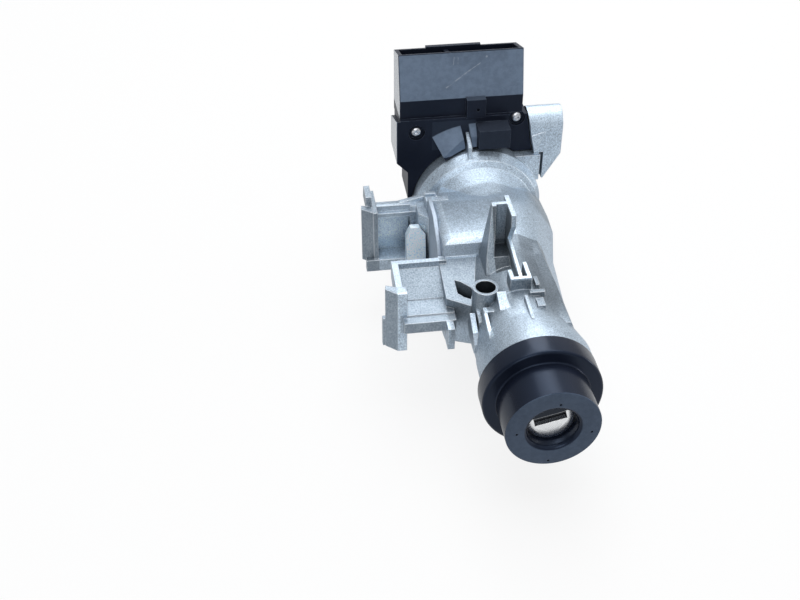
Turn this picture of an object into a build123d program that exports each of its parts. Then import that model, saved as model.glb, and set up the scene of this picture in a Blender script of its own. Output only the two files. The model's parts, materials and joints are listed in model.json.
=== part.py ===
from build123d import *
import math
import os

# Steering lock with its ignition switch. Millimetres.
# The lock axis is the Y axis. The origin is the centre of the nose's front face, where the key goes in.
# +Y runs back to the electrical switch, +X to the right as the driver sees it, +Z up.

CENTRED = (Align.CENTER, Align.CENTER, Align.MIN)
CORNER = (Align.MIN, Align.MIN, Align.MIN)

# Black nose moulding with the reader coil
NOSE_R = 15.5
NOSE_LENGTH = 14.0
COLLAR_R = 20.0
COLLAR_END = 22.0
KEY_OPENING_R = 8.1
KEY_OPENING_LIP = 1.6
NOSE_WALL = 5.0
NECK_R = 13.0
COIL_INNER_R = 14.6
COIL_OUTER_R = 18.4
COIL_START = 15.8
COIL_LENGTH = 4.4

# Lock cylinder
SLEEVE_R = 10.5
SLEEVE_START = 6.0
SLEEVE_END = 52.0
PLUG_BORE_R = 8.0
RUNNING = 0.05
PLUG_R = PLUG_BORE_R - RUNNING
PLUG_START = 5.2
PLUG_END = 50.0
FACE_R = 7.7
FACE_START = 3.4
SLOT_WIDTH = 10.5
SLOT_HEIGHT = 3.0
SLOT_RISE = 1.5
SLOT_TILT = -14.0
PINHOLE_R = 0.45
PINHOLE_DEPTH = 1.5
PINHOLE_CIRCLE_R = 12.2
PINHOLE_FIRST_ANGLE = -4.5
PINHOLE_CENTRE = (0.4, -1.7)
KEYWAY_WIDTH = 9.4
KEYWAY_HEIGHT = 2.7
KEYWAY_END = 45.0
WAFER_COUNT = 8
WAFER_PITCH = 3.9
WAFER_FIRST = 13.0
WAFER_THICKNESS = 0.9
WAFER_HALF_WIDTH = 6.2
WAFER_R = 7.6
WAFER_GAP = 0.06
SHUTTER_POCKET_END = 10.0
SHUTTER_PIN_Y = 6.05
SHUTTER_PIN_Z = SLOT_RISE + 1.85
SHUTTER_PIN_R = 0.35
SHUTTER_KNUCKLE_R = 0.68
SHUTTER_WIDTH = 9.8
SHUTTER_DROP = 3.1
SHUTTER_THICKNESS = 0.45

# Driver shaft, cam and lock bolt
SHAFT_R = 4.5
SHAFT_HEAD_R = 7.5
SHAFT_HEAD_END = 56.0
SHAFT_START = 50.2
SHAFT_END = 128.0
SHAFT_FLAT = 3.7
TANG_WIDTH = 11.0
TANG_HEIGHT = 3.0
TANG_LENGTH = 3.6
SQUARE_DRIVE = 6.0
SQUARE_END = 140.0
BOLT_LIFT = 7.0
CAM_BASE_R = 5.0
CAM_RISE = BOLT_LIFT / (math.pi / 2)
CAM_STEPS = 12
BOLT_Y = 92.0
BOLT_THICKNESS = 8.0
BOLT_GAP = 0.1
CHAMBER_LENGTH = 9.0
CHAMBER_LEFT = -22.5
CHAMBER_RIGHT = 10.0
CHAMBER_FLOOR = -15.3
CHAMBER_ROOF = 16.7
BOLT_BAR_LEFT = -13.0
BOLT_LEG_LEFT = 5.25
BOLT_LEG_RIGHT = 9.5
BOLT_BAR_BOTTOM = CAM_BASE_R + 0.1
BOLT_BAR_TOP = 9.1
BOLT_BRIDGE_TOP = -12.3
BOLT_BRIDGE_BOTTOM = -15.1
BOLT_HALF_WIDTH = 4.5
BOLT_TIP = -28.0
BOLT_SPRING_R = 1.1
BOLT_SPRING_WIRE_R = 0.22
BOLT_SPRING_HOLE_R = 1.55
BOLT_SPRING_SEAT = -6.0

# Column saddle under the body. The column tube lies along X.
COLUMN_R = 20.0
COLUMN_Y = 92.0
COLUMN_Z = -41.0
FOOT_Z = -33.0
SADDLE_FRONT = 65.0
SADDLE_REAR = 118.5
SADDLE_HALF_WIDTH = 20.0
FRONT_FOOT_LEFT = -4.0
COLUMN_BOLT_X = 8.0
COLUMN_BOLT_FRONT_Y = 69.2
COLUMN_BOLT_REAR_Y = 114.2
COLUMN_BOLT_R = 2.5
COLUMN_BOLT_DEPTH = 14.0

# Cast body
BARREL_R = 17.3
BARREL_START = 22.2
FLARE_R = 18.9
FLARE_OFFSET = 1.0
FLARE_END = 28.0
FLARE_BLEND_END = 36.5
FLARE_STEP = 0.4
BODY_TOP = 20.0
BODY_FRONT = 73.5
BODY_UPPER_FRONT = 76.0
BODY_LEDGE = 12.0
BODY_LEFT = -22.5
BODY_REAR = 121.0
BULGE_START = 56.0
DRUM_R = 25.4
DRUM_END = 134.7
DRUM_CAVITY_R = 21.0
DRUM_CAVITY_START = 124.5
EAR_FRONT = 129.1
EAR_REAR = 146.0
EAR_TOP = 38.2
EAR_ROUNDING = 6.1
BOSS_X = -12.2
BOSS_Y = 52.0
BOSS_TOP = 17.6
BOSS_R = 4.45
BOSS_BORE_R = 3.45
BOSS_FLOOR = 7.0

# Cover plate over the bolt chamber
PLATE_THICKNESS = 1.5
PLATE_FRONT = 76.0
PLATE_REAR = 104.0
PLATE_BOTTOM = -15.0
PLATE_TOP = 20.8

# Electrical switch
SWITCH_FRONT = 131.8
SWITCH_BAND = 133.5
SWITCH_REAR = 149.0
SWITCH_TOP = 37.6
SWITCH_R = 23.5
SPIGOT_R = DRUM_CAVITY_R
SPIGOT_START = 127.0
ROTOR_BORE_R = 15.2
ROTOR_R = 15.0
ROTOR_START = 128.5
ROTOR_END = 145.0
BOX_LEFT = -30.4
BOX_RIGHT = 17.3
BOX_KNEE = 45.0
BOX_FRONT_TOP_Y = 138.0
BOX_TOP = 62.0
BOX_REAR = 150.5
BOX_REAR_TOP = 58.4
BOX_WALL = 1.6
BOX_FLOOR = 40.0
COVER_THICKNESS = 1.8
SCREW_LEFT = (-24.1, 32.2)
SCREW_RIGHT = (15.0, 35.8)
SCREW_HEAD_R = 1.9
SCREW_SHANK_R = 1.25
SCREW_RECESS_R = 3.2


def block(x_range, y_range, z_range):
    """Box between two corners, each range low to high."""
    size = [high - low for low, high in (x_range, y_range, z_range)]
    return Pos(x_range[0], y_range[0], z_range[0]) * Box(*size, align=CORNER)


def rod_y(radius, start, end, x=0.0, z=0.0):
    """Cylinder along Y."""
    return Pos(x, start, z) * Rot(-90, 0, 0) * Cylinder(radius, end - start, align=CENTRED)


def rod_x(radius, start, end, y, z):
    """Cylinder along X."""
    return Pos(start, y, z) * Rot(0, 90, 0) * Cylinder(radius, end - start, align=CENTRED)


def rod_z(radius, start, end, x, y):
    """Cylinder along Z."""
    return Pos(x, y, start) * Cylinder(radius, end - start, align=CENTRED)


def ring_y(outer, inner, start, end):
    """Tube along the lock axis."""
    return rod_y(outer, start, end) - rod_y(inner, start - 1, end + 1)


def prism_x(outline_yz, start, end):
    """Outline in the YZ plane, pushed along X."""
    points = [(start, y, z) for y, z in outline_yz]
    return extrude(make_face(Polyline(*points, close=True)), end - start, dir=(1, 0, 0))


def prism_y(outline_xz, start, end):
    """Outline in the XZ plane, pushed along Y."""
    points = [(x, start, z) for x, z in outline_xz]
    return extrude(make_face(Polyline(*points, close=True)), end - start, dir=(0, 1, 0))


def prism_z(outline_xy, start, end):
    """Outline in the XY plane, pushed along Z."""
    points = [(x, y, start) for x, y in outline_xy]
    return extrude(make_face(Polyline(*points, close=True)), end - start, dir=(0, 0, 1))


def turned(outline_yr):
    """Outline of (y, radius) points, turned about the lock axis."""
    points = [(radius, y, 0) for y, radius in outline_yr]
    return revolve(make_face(Polyline(*points, close=True)), Axis.Y)


def coil_spring(radius, wire_r, length, turns):
    """Coil along Z from the origin upwards, wire included in the length."""
    rise = length - 2 * wire_r
    path = Pos(0, 0, wire_r) * Helix(rise / turns, rise, radius)
    section = Plane(origin=path @ 0, z_dir=path % 0) * Circle(wire_r)
    return sweep(section, path=path, is_frenet=True)


# The casting, in the order it is built up from the key end

def barrel():
    """Front barrel, its flare behind the collar, the neck inside it and the raised shoulder on the right."""
    neck = rod_y(NECK_R, SLEEVE_START, BARREL_START + 1)
    tube = rod_y(BARREL_R, BARREL_START, BODY_FRONT + 4)
    rim = rod_y(FLARE_R, BARREL_START, FLARE_END, x=FLARE_OFFSET)
    wide = Plane(origin=(FLARE_OFFSET, FLARE_END, 0), z_dir=(0, 1, 0)) * Circle(FLARE_R)
    narrow = Plane(origin=(0, FLARE_BLEND_END, 0), z_dir=(0, 1, 0)) * Circle(BARREL_R + FLARE_STEP)
    blend = loft([wide, narrow])
    shoulder = prism_y([(0, 0), (0, 17.2), (4.5, 17.0), (9, 14.4), (13.3, 14.0), (17.4, 3.5)],
                       34, BULGE_START)
    return neck + tube + rim + blend + shoulder


def body():
    """Middle of the casting around the bolt chamber, with a flat top on the left."""
    plan = prism_z([(BODY_LEFT, BODY_FRONT), (BODY_LEFT, 106), (-19, 112), (-16, BODY_REAR), (4, BODY_REAR),
                    (4, BODY_FRONT)], -20, BODY_TOP)
    section = prism_y([(-22.5, 18.2), (-21.2, 19.3), (-19.4, 20), (4, 20), (4, -20), (-15, -20),
                       (-22.5, -14)], BODY_FRONT, BODY_REAR)
    side = prism_x([(BODY_FRONT, -20), (BODY_FRONT, BODY_LEDGE), (BODY_UPPER_FRONT, BODY_LEDGE),
                    (BODY_UPPER_FRONT, 18.8), (77.8, 20), (101, 20), (108, 17), (BODY_REAR, 14),
                    (BODY_REAR, -20)], -25, 25)
    return plan & section & side


def bulge():
    """Right side of the body, swelling from the barrel's shoulder to the drum."""
    sections = []
    for y, outline in (
        (BULGE_START, [(0, -15), (0, 17.2), (4.5, 17.0), (9, 14.4), (13.3, 14.0), (17.4, 3.5), (16, -8),
                       (10, -15)]),
        (71, [(0, -16.4), (0, 17.4), (4.3, 17.3), (9, 15.0), (12.4, 14.7), (18.3, 4.9), (17.6, -8.7),
              (10.7, -16.4)]),
        (78, [(0, -17), (0, 20), (4.1, 20), (9, 17.4), (11.9, 16), (18.7, 5.5), (18.4, -9), (11, -17)]),
        (96, [(0, -20), (0, 20), (9, 20), (13.5, 17.6), (17.5, 14.5), (23, 6), (23, -10), (15, -20)]),
        (107, [(0, -20), (0, 17.6), (9, 17.6), (13.5, 16.2), (18, 14), (23.5, 6), (23.5, -10), (15, -20)]),
        (BODY_REAR, [(0, -20), (0, 14), (9, 14), (13.5, 12.9), (17.5, 11), (23.5, 5), (23.5, -10),
                     (15, -20)]),
    ):
        points = [(x, y, z) for x, z in outline]
        sections.append(make_face(Polyline(*points, close=True)))
    return loft(sections, ruled=True)


def drum():
    """Round rear drum that takes the switch, with its dome towards the body."""
    return turned([(104, 0), (104, 17.0), (115, 18.6), (121, 21.2), (122.2, 23.6), (124.5, 24.1),
                   (126.5, DRUM_R), (DRUM_END, DRUM_R), (DRUM_END, 0)])


def saddle():
    """Seat for the column tube, with a front and a rear foot on one level."""
    rear = block((-SADDLE_HALF_WIDTH, SADDLE_HALF_WIDTH), (COLUMN_Y, SADDLE_REAR), (FOOT_Z, -12))
    front = block((FRONT_FOOT_LEFT, SADDLE_HALF_WIDTH), (SADDLE_FRONT, COLUMN_Y), (FOOT_Z, -8))
    middle = block((-SADDLE_HALF_WIDTH, SADDLE_HALF_WIDTH), (84, SADDLE_REAR), (-24, -12))
    tube = rod_x(COLUMN_R, -30, 30, COLUMN_Y, COLUMN_Z)
    holes = [rod_z(COLUMN_BOLT_R, FOOT_Z - 1, FOOT_Z + COLUMN_BOLT_DEPTH, COLUMN_BOLT_X, y)
             for y in (COLUMN_BOLT_FRONT_Y, COLUMN_BOLT_REAR_Y)]
    return rear + front + middle, [tube] + holes


def rear_ear():
    """Flange on the right of the drum, and the box with a rounded front edge beside the switch."""
    ear = block((10, 24.6), (128, DRUM_END), (9.5, 20.8))
    box = prism_y([(22.4, 9.5), (26.5, 9.5), (33, 20.5), (33, 32.5), (18.6, 32.5), (18.6, 20.9),
                   (22.4, 20.9)], EAR_FRONT, EAR_REAR)
    round_front = rod_x(EAR_ROUNDING, 18.6, 33, EAR_FRONT + EAR_ROUNDING, EAR_TOP - EAR_ROUNDING)
    roof = prism_x([(EAR_FRONT + EAR_ROUNDING, 30), (EAR_FRONT + EAR_ROUNDING, EAR_TOP), (136.5, EAR_TOP),
                    (EAR_REAR, 32.4), (EAR_REAR, 30)], 18.6, 33)
    facet = prism_x([(127.4, 22.6), (EAR_FRONT, 30.6), (130, 30.6), (130, 22.6)], 19, 28)
    facet &= prism_y([(19.4, 28.6), (21.2, 22.6), (22.4, 22.6), (26.4, 30.6)], 127, 130)
    groove = block((24.2, 26.0), (127, 131.8), (9, 21.4))
    switch_room = prism_y([(10, 19), (22.3, 19), (22.3, 20.9), (20.95, 27), (19.1, 39), (10, 39)], 120, 150)
    return ear + (box + round_front + roof + facet - groove - switch_room)


def bracket_rear():
    """Left rear bracket: shelf, rounded recess, floor with a lip, and a tall end wall with its flange."""
    wall = block((-44, -20), (110, 113), (-9, 14.4))
    shelf = prism_x([(108.4, 12), (111.2, 12), (111.2, 14.4), (113, 14.4), (113, 10), (108.4, 10)], -44, -20)
    belly = prism_x([(110, 10.5), (108.6, 4), (108.8, -1), (110, -5), (112, -5), (112, 10.5)], -42.7, -30.5)
    floor = block((-44, -24), (101, 112), (-9, -5.2))
    lip = block((-47.5, -24), (100.9, 103.4), (-9, -4))
    end_wall = prism_x([(101, -9), (103, 4), (103.5, 15.8), (119, 15.8), (119, 8), (114, -9)], -44.4, -42.7)
    flange = prism_z([(-44.4, 103.5), (-48.6, 106.5), (-48.4, 109), (-44.4, 108)], -7, 16)
    peak = prism_x([(108, 14), (109, 19.5), (117, 19.5), (119, 14)], -46.6, -44.4)
    gusset = prism_y([(-36, 14), (-20, 17.6), (-20, 12), (-36, 12)], 111.2, 113)
    panel = block((-29.7, -20), (108.6, 112), (-9, 14.4))
    boss = prism_x([(96.4, -9), (100.2, 10.2), (102.6, 10.2), (102.6, -9)], -32.5, -25.2)
    boss &= prism_y([(-32.5, -9), (-32.5, 6.4), (-30.9, 10.2), (-27.4, 10.2), (-25.2, 7.4), (-25.2, -9)],
                    96, 103)
    facet = prism_z([(-27.5, 103), (-24, 99.5), (-21, 99.5), (-21, 110), (-27.5, 110)], -9, 14.5)
    end = end_wall + flange + peak
    block_end = panel + boss + facet
    return wall + shelf + belly + floor + lip + gusset + end + block_end


def bracket_front():
    """Left front bracket: sloped back, seat with a front lip, end plate, side wall and fin."""
    chair = prism_x(
        [(75, 14.4), (73, 14.4), (73, 12), (62.4, 6.4), (62.4, 6), (54.2, 6), (54.2, 5.5), (50.5, 5.5),
         (50.5, 1.2), (58, 1.2), (75, 8)], -40, -22)
    side_wall = prism_x([(75, 14.4), (73, 14.4), (57, 12.5), (57, 1.2), (75, 8)], -41.5, -39.2)
    end_plate = prism_z(
        [(-38.6, 53.6), (-41.8, 53.6), (-45.8, 57), (-45.4, 59.2), (-41.4, 57.5), (-38.6, 57.5)], -9, 16.2)
    end_tab = block((-46.7, -45), (57.4, 59.2), (-9, 3))
    fin = prism_x([(62, 5.6), (46, 5.2), (46, -3.6), (50, -3.6), (58, 0), (62, 0)], -25.6, -23.2)
    return chair + side_wall + end_plate + end_tab + fin


def web():
    """Sloped web between the front bracket and the barrel, with the dark pocket beside the tube boss."""
    slab = prism_x([(76.5, 13.7), (57.5, 9.6), (52.5, 8.6), (52.5, -8), (62, -10), (76.5, -12)], -24.5, -8)
    slab &= prism_z([(-24.5, 57.5), (-15, 52.5), (-8, 52.5), (-8, 76.5), (-24.5, 76.5)], -13, 15)
    pocket = prism_z([(-20.4, 65.3), (-18.5, 64.4), (-15.1, 61.4), (-14.8, 59.6), (-16.1, 56.3),
                      (-18.3, 57.5), (-20.2, 59.4)], -4, 20)
    return slab, pocket


def tower():
    """Tall slotted tower: a drafted left wall, a back wall, and a right wall with a low fin in front."""
    profile = [(75.2, 14), (75.2, 36), (73.2, 36), (65.8, 19.4), (62, 15), (62, 14)]
    left = prism_y([(-6.6, 36), (-10.0, 14), (-6.9, 14), (-5.1, 36)], 61, 76) & prism_x(profile, -12, -4)
    back = block((-6.4, 0.0), (73.8, 75.2), (15, 36))
    right = prism_x([(79, 15), (79, 36), (66, 36), (65.6, 31.7), (70, 24), (72, 15)], -1.3, 0.4)
    fin = prism_x([(72, 15), (72, 24.8), (50, 21.9), (50, 15)], -1.2, -0.1)
    base = prism_x([(61.8, 12), (61.8, 15), (63.2, 17.5), (65.8, 19.4), (75.2, 19.4), (75.2, 12)], -9.0, 0)
    return left + back + right + fin + base


def top_details():
    """Small cast walls and ribs on top of the barrel."""
    cradle = [
        block((-4.3, 2.9), (49.4, 50.7), (14, 22)),
        block((-4.3, -3.0), (49.4, 54.8), (14, 22)),
        block((1.6, 2.9), (49.4, 58.4), (14, 22)),
    ]
    ribs = [
        block((1.7, 6.9), (45.8, 47.4), (10, 18.5)),
        block((4.7, 6.0), (50, 54.6), (10, 18.4)),
        prism_x([(43.5, 14), (43.5, 19.6), (32.5, 18.6), (32.5, 14)], -0.9, 0.2),
        block((3.0, 5.6), (39.2, 43.5), (12, 18.0)),
        prism_x([(48.4, 12), (48.4, 18), (42, 15.4), (42, 12)], -9.2, -6.0),
        block((-14.0, -10.6), (43.5, 46.2), (8, 13.6)),
        prism_x([(48.5, 0), (48.5, 9.6), (41.7, 6.5), (38.8, 3.6), (38.8, 0)], -18.0, -16.2),
        prism_x([(51.5, 4), (51.5, 10.8), (44, 9.0), (44, 4)], -15.6, -14.4),
        prism_x([(45.8, 8), (45.8, 13.8), (33, 10.9), (33, 8)], -14.2, -13.0),
    ]
    return cradle + ribs


def cover_guides():
    """Raised edges that hold the bolt chamber's cover plate."""
    front = block((-24.4, -20), (73.6, 75.8), (-9, 9))
    rear = block((-24.4, -16), (104.2, 107), (-9, 19))
    hook = prism_y([(-24.6, 14), (-24.6, 20.4), (-20.8, 20.4), (-19.2, 17.6), (-19.2, 14)], 107, 108.6)
    return front + rear + hook


def drum_rib():
    """Rib on top of the drum that keys the switch."""
    return prism_x([(123.4, 22), (124.4, 28.6), (131.5, 31.4), (131.5, 22)], -5.0, -3.6)


def housing():
    """The die-cast lock housing, one piece."""
    seat, seat_cuts = saddle()
    slab, pocket = web()
    solid = barrel() + body() + bulge() + drum() + seat + rear_ear()
    solid += bracket_rear() + bracket_front() + slab + tower()
    for piece in top_details():
        solid += piece
    solid += rod_z(BOSS_R, BOSS_FLOOR - 2, BOSS_TOP, BOSS_X, BOSS_Y)
    solid += cover_guides() + drum_rib()
    cuts = seat_cuts + [
        pocket,
        bolt_cover_plate(),
        rod_z(BOSS_BORE_R, 10.0, BOSS_TOP + 1, BOSS_X, BOSS_Y),
        rod_y(SLEEVE_R, SLEEVE_START - 1, SLEEVE_END),
        rod_y(PLUG_BORE_R, SLEEVE_END - 1, SHAFT_HEAD_END + 1),
        rod_y(SHAFT_R + RUNNING, SHAFT_HEAD_END, DRUM_CAVITY_START + 1),
        rod_y(DRUM_CAVITY_R, DRUM_CAVITY_START, DRUM_END + 1),
        block((CHAMBER_LEFT - 5, CHAMBER_RIGHT),
              (BOLT_Y - CHAMBER_LENGTH / 2, BOLT_Y + CHAMBER_LENGTH / 2), (CHAMBER_FLOOR, CHAMBER_ROOF)),
        block((-BOLT_HALF_WIDTH - BOLT_GAP, BOLT_HALF_WIDTH + BOLT_GAP),
              (BOLT_Y - BOLT_THICKNESS / 2 - BOLT_GAP, BOLT_Y + BOLT_THICKNESS / 2 + BOLT_GAP),
              (-30, CHAMBER_FLOOR + 1)),
    ]
    for cut in cuts:
        solid -= cut
    return solid


# Nose and lock cylinder

def coil_collar():
    """Black nose and flange moulding that carries the reader coil."""
    nose = turned([(0, KEY_OPENING_R), (0, NOSE_R), (NOSE_LENGTH, NOSE_R),
                   (NOSE_LENGTH, COLLAR_R - 1.0), (NOSE_LENGTH + 1.0, COLLAR_R), (COLLAR_END, COLLAR_R),
                   (COLLAR_END, NECK_R), (NOSE_WALL, NECK_R), (NOSE_WALL, KEY_OPENING_R)])
    lip = [edge for edge in nose.edges().filter_by(GeomType.CIRCLE)
           if abs(edge.radius - KEY_OPENING_R) < 0.01 and abs(edge.center().Y) < 0.01]
    nose = fillet(lip, KEY_OPENING_LIP)
    nose -= ring_y(COIL_OUTER_R, COIL_INNER_R, COIL_START, COLLAR_END + 1)
    for quarter in range(4):
        angle = math.radians(PINHOLE_FIRST_ANGLE + 90 * quarter)
        nose -= rod_y(PINHOLE_R, -1, PINHOLE_DEPTH, x=PINHOLE_CENTRE[0] + PINHOLE_CIRCLE_R * math.cos(angle),
                      z=PINHOLE_CENTRE[1] + PINHOLE_CIRCLE_R * math.sin(angle))
    return nose


def antenna_coil():
    """Wound reader coil in the flange's annular chamber."""
    outer = COIL_OUTER_R - 0.2
    inner = COIL_INNER_R
    return ring_y(outer, inner, COIL_START, COIL_START + COIL_LENGTH)


def keyed(shape):
    """Turn a shape drawn with a level keyway to the keyway's real tilt in the locked position."""
    return Rot(0, SLOT_TILT, 0) * shape


def cylinder_sleeve():
    """Fixed sleeve of the lock cylinder with the groove that stops the wafers."""
    sleeve = ring_y(SLEEVE_R, PLUG_BORE_R, SLEEVE_START, SLEEVE_END)
    groove = block((-WAFER_HALF_WIDTH - 0.2, WAFER_HALF_WIDTH + 0.2), (11, 43), (-9.2, 9.2))
    return sleeve - keyed(groove)


def key_plug():
    """Turning plug with the keyway, the wafer slots and the shutter pocket."""
    plug = rod_y(PLUG_R, PLUG_START, PLUG_END)
    keyway = block((-KEYWAY_WIDTH / 2, KEYWAY_WIDTH / 2), (PLUG_START - 1, KEYWAY_END),
                   (SLOT_RISE - KEYWAY_HEIGHT / 2, SLOT_RISE + KEYWAY_HEIGHT / 2))
    shutter_pocket = block((-5.4, 5.4), (PLUG_START - 1, SHUTTER_POCKET_END),
                           (SLOT_RISE - 2.1, SLOT_RISE + 2.7))
    pin_hole = rod_x(SHUTTER_PIN_R, -6.2, 6.2, SHUTTER_PIN_Y, SHUTTER_PIN_Z)
    tang_slot = block((-TANG_WIDTH / 2, TANG_WIDTH / 2), (PLUG_END - TANG_LENGTH, PLUG_END + 1),
                      (-TANG_HEIGHT / 2, TANG_HEIGHT / 2))
    plug -= keyway + shutter_pocket + pin_hole + tang_slot
    for y in wafer_places():
        plug -= block((-WAFER_HALF_WIDTH, WAFER_HALF_WIDTH),
                      (y - WAFER_THICKNESS / 2 - WAFER_GAP, y + WAFER_THICKNESS / 2 + WAFER_GAP), (-9, 9))
    return keyed(plug)


def wafer_places():
    """Middle of each wafer along the lock axis."""
    return [WAFER_FIRST + WAFER_PITCH * index for index in range(WAFER_COUNT)]


def wafers():
    """Brass wafers, drawn flush with the plug as a key holds them."""
    plates = []
    for y in wafer_places():
        low = y - WAFER_THICKNESS / 2
        high = y + WAFER_THICKNESS / 2
        blank = block((-WAFER_HALF_WIDTH, WAFER_HALF_WIDTH), (low, high), (-9, 9))
        plate = rod_y(WAFER_R, low, high) & blank
        window = block((-4.9, 4.9), (low - 1, high + 1), (SLOT_RISE - 1.6, SLOT_RISE + 1.6))
        plates.append(keyed(plate - window))
    return Compound(children=[Solid(plate.solid().wrapped) for plate in plates])


def plug_face():
    """Bright pressed cap on the plug's front with the key slot."""
    face = turned([(FACE_START, 0), (FACE_START, 5.6), (FACE_START + 0.5, FACE_R - 0.4),
                   (FACE_START + 1.0, FACE_R), (PLUG_START, FACE_R), (PLUG_START, 0)])
    slot = block((-SLOT_WIDTH / 2, SLOT_WIDTH / 2), (0, PLUG_START + 1),
                 (SLOT_RISE - SLOT_HEIGHT / 2, SLOT_RISE + SLOT_HEIGHT / 2))
    return keyed(face - slot)


def shutter_flap():
    """Dust flap behind the key slot, hung from its pin."""
    drop = block((-SHUTTER_WIDTH / 2, SHUTTER_WIDTH / 2),
                 (SHUTTER_PIN_Y - SHUTTER_KNUCKLE_R, SHUTTER_PIN_Y - SHUTTER_KNUCKLE_R + SHUTTER_THICKNESS),
                 (SHUTTER_PIN_Z - SHUTTER_DROP, SHUTTER_PIN_Z))
    knuckle = rod_x(SHUTTER_KNUCKLE_R, -3.2, 3.2, SHUTTER_PIN_Y, SHUTTER_PIN_Z)
    hole = rod_x(SHUTTER_PIN_R + RUNNING, -7, 7, SHUTTER_PIN_Y, SHUTTER_PIN_Z)
    return keyed(drop + knuckle - hole)


def shutter_pin():
    """Pin of the dust flap."""
    return keyed(rod_x(SHUTTER_PIN_R, -6.2, 6.2, SHUTTER_PIN_Y, SHUTTER_PIN_Z))


# Driver shaft, cam and bolt

def driver_shaft():
    """Shaft from the plug to the switch, with a tang in front and a square behind."""
    head = rod_y(SHAFT_HEAD_R, SHAFT_START, SHAFT_HEAD_END - 0.2)
    stem = rod_y(SHAFT_R, SHAFT_HEAD_END - 1, SHAFT_END)
    tang = block((-TANG_WIDTH / 2 + 0.2, TANG_WIDTH / 2 - 0.2),
                 (PLUG_END - TANG_LENGTH + 0.3, SHAFT_START + 1),
                 (-TANG_HEIGHT / 2 + 0.1, TANG_HEIGHT / 2 - 0.1))
    square = block((-SQUARE_DRIVE / 2, SQUARE_DRIVE / 2), (SHAFT_END - 1, SQUARE_END),
                   (-SQUARE_DRIVE / 2, SQUARE_DRIVE / 2))
    flat = block((-6, 6), (BOLT_Y - 3.9, BOLT_Y + 3.9), (SHAFT_FLAT, 6))
    return head + stem + keyed(tang) + square - flat


def lock_cam():
    """Cam that lifts the bolt evenly over a quarter turn: an involute on its rising side."""
    rise = []
    for step in range(CAM_STEPS + 1):
        angle = math.pi / 2 * step / CAM_STEPS
        reach = CAM_BASE_R + CAM_RISE * angle
        x = -reach * math.sin(angle) - CAM_RISE * math.cos(angle)
        z = reach * math.cos(angle) - CAM_RISE * math.sin(angle)
        rise.append((x, z))
    outline = [(0, CAM_BASE_R)] + rise + [(-9.5, -6.4), (-1.2, -4.85), (0, 0)]
    lobe = prism_y(outline, BOLT_Y - 3.8, BOLT_Y + 3.8)
    hub = rod_y(CAM_BASE_R, BOLT_Y - 3.8, BOLT_Y + 3.8)
    bore = rod_y(SHAFT_R, BOLT_Y - 5, BOLT_Y + 5) - block((-6, 6), (BOLT_Y - 6, BOLT_Y + 6), (SHAFT_FLAT, 6))
    return lobe + hub - bore


def lock_bolt():
    """C-shaped bolt around the cam, its tongue reaching into the column saddle."""
    low = BOLT_Y - BOLT_THICKNESS / 2
    high = BOLT_Y + BOLT_THICKNESS / 2
    bar = block((BOLT_BAR_LEFT, BOLT_LEG_RIGHT), (low, high), (BOLT_BAR_BOTTOM, BOLT_BAR_TOP))
    leg = block((BOLT_LEG_LEFT, BOLT_LEG_RIGHT), (low, high), (BOLT_BRIDGE_BOTTOM, BOLT_BAR_TOP))
    bridge = block((-BOLT_HALF_WIDTH, BOLT_LEG_RIGHT), (low, high), (BOLT_BRIDGE_BOTTOM, BOLT_BRIDGE_TOP))
    tongue = block((-BOLT_HALF_WIDTH, BOLT_HALF_WIDTH), (low, high), (BOLT_TIP, BOLT_BRIDGE_TOP))
    tip = [edge for edge in tongue.edges().filter_by(Axis.Y) if edge.center().Z < BOLT_TIP + 1]
    tongue = chamfer(tip, 1.2)
    hole = rod_z(BOLT_SPRING_HOLE_R, BOLT_SPRING_SEAT, BOLT_BAR_TOP + 1, bolt_spring_x(), BOLT_Y)
    return bar + leg + bridge + tongue - hole


def bolt_spring_x():
    """Middle of the bolt's leg."""
    return (BOLT_LEG_LEFT + BOLT_LEG_RIGHT) / 2


def bolt_spring():
    """Spring that throws the bolt, from the leg's blind hole to the chamber roof."""
    return Pos(bolt_spring_x(), BOLT_Y, BOLT_SPRING_SEAT) * coil_spring(
        BOLT_SPRING_R, BOLT_SPRING_WIRE_R, CHAMBER_ROOF - BOLT_SPRING_SEAT, 11)


def bolt_cover_plate():
    """Steel plate that closes the bolt chamber on the left, its upper front corner sloped."""
    outline = [(PLATE_FRONT, PLATE_BOTTOM), (PLATE_REAR, PLATE_BOTTOM), (PLATE_REAR, PLATE_TOP),
               (92, PLATE_TOP), (82, 15.5), (77, 9), (PLATE_FRONT, 7)]
    return prism_x(outline, BODY_LEFT - PLATE_THICKNESS, BODY_LEFT)


# Electrical switch

def connector_box():
    """Connector box before it is hollowed, its front leaning back above the knee."""
    foot = SWITCH_TOP - 4
    return prism_x([(SWITCH_BAND, foot), (SWITCH_BAND, BOX_KNEE), (BOX_FRONT_TOP_Y, BOX_TOP),
                    (BOX_REAR, BOX_REAR_TOP), (BOX_REAR, foot)], BOX_LEFT, BOX_RIGHT)


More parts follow.
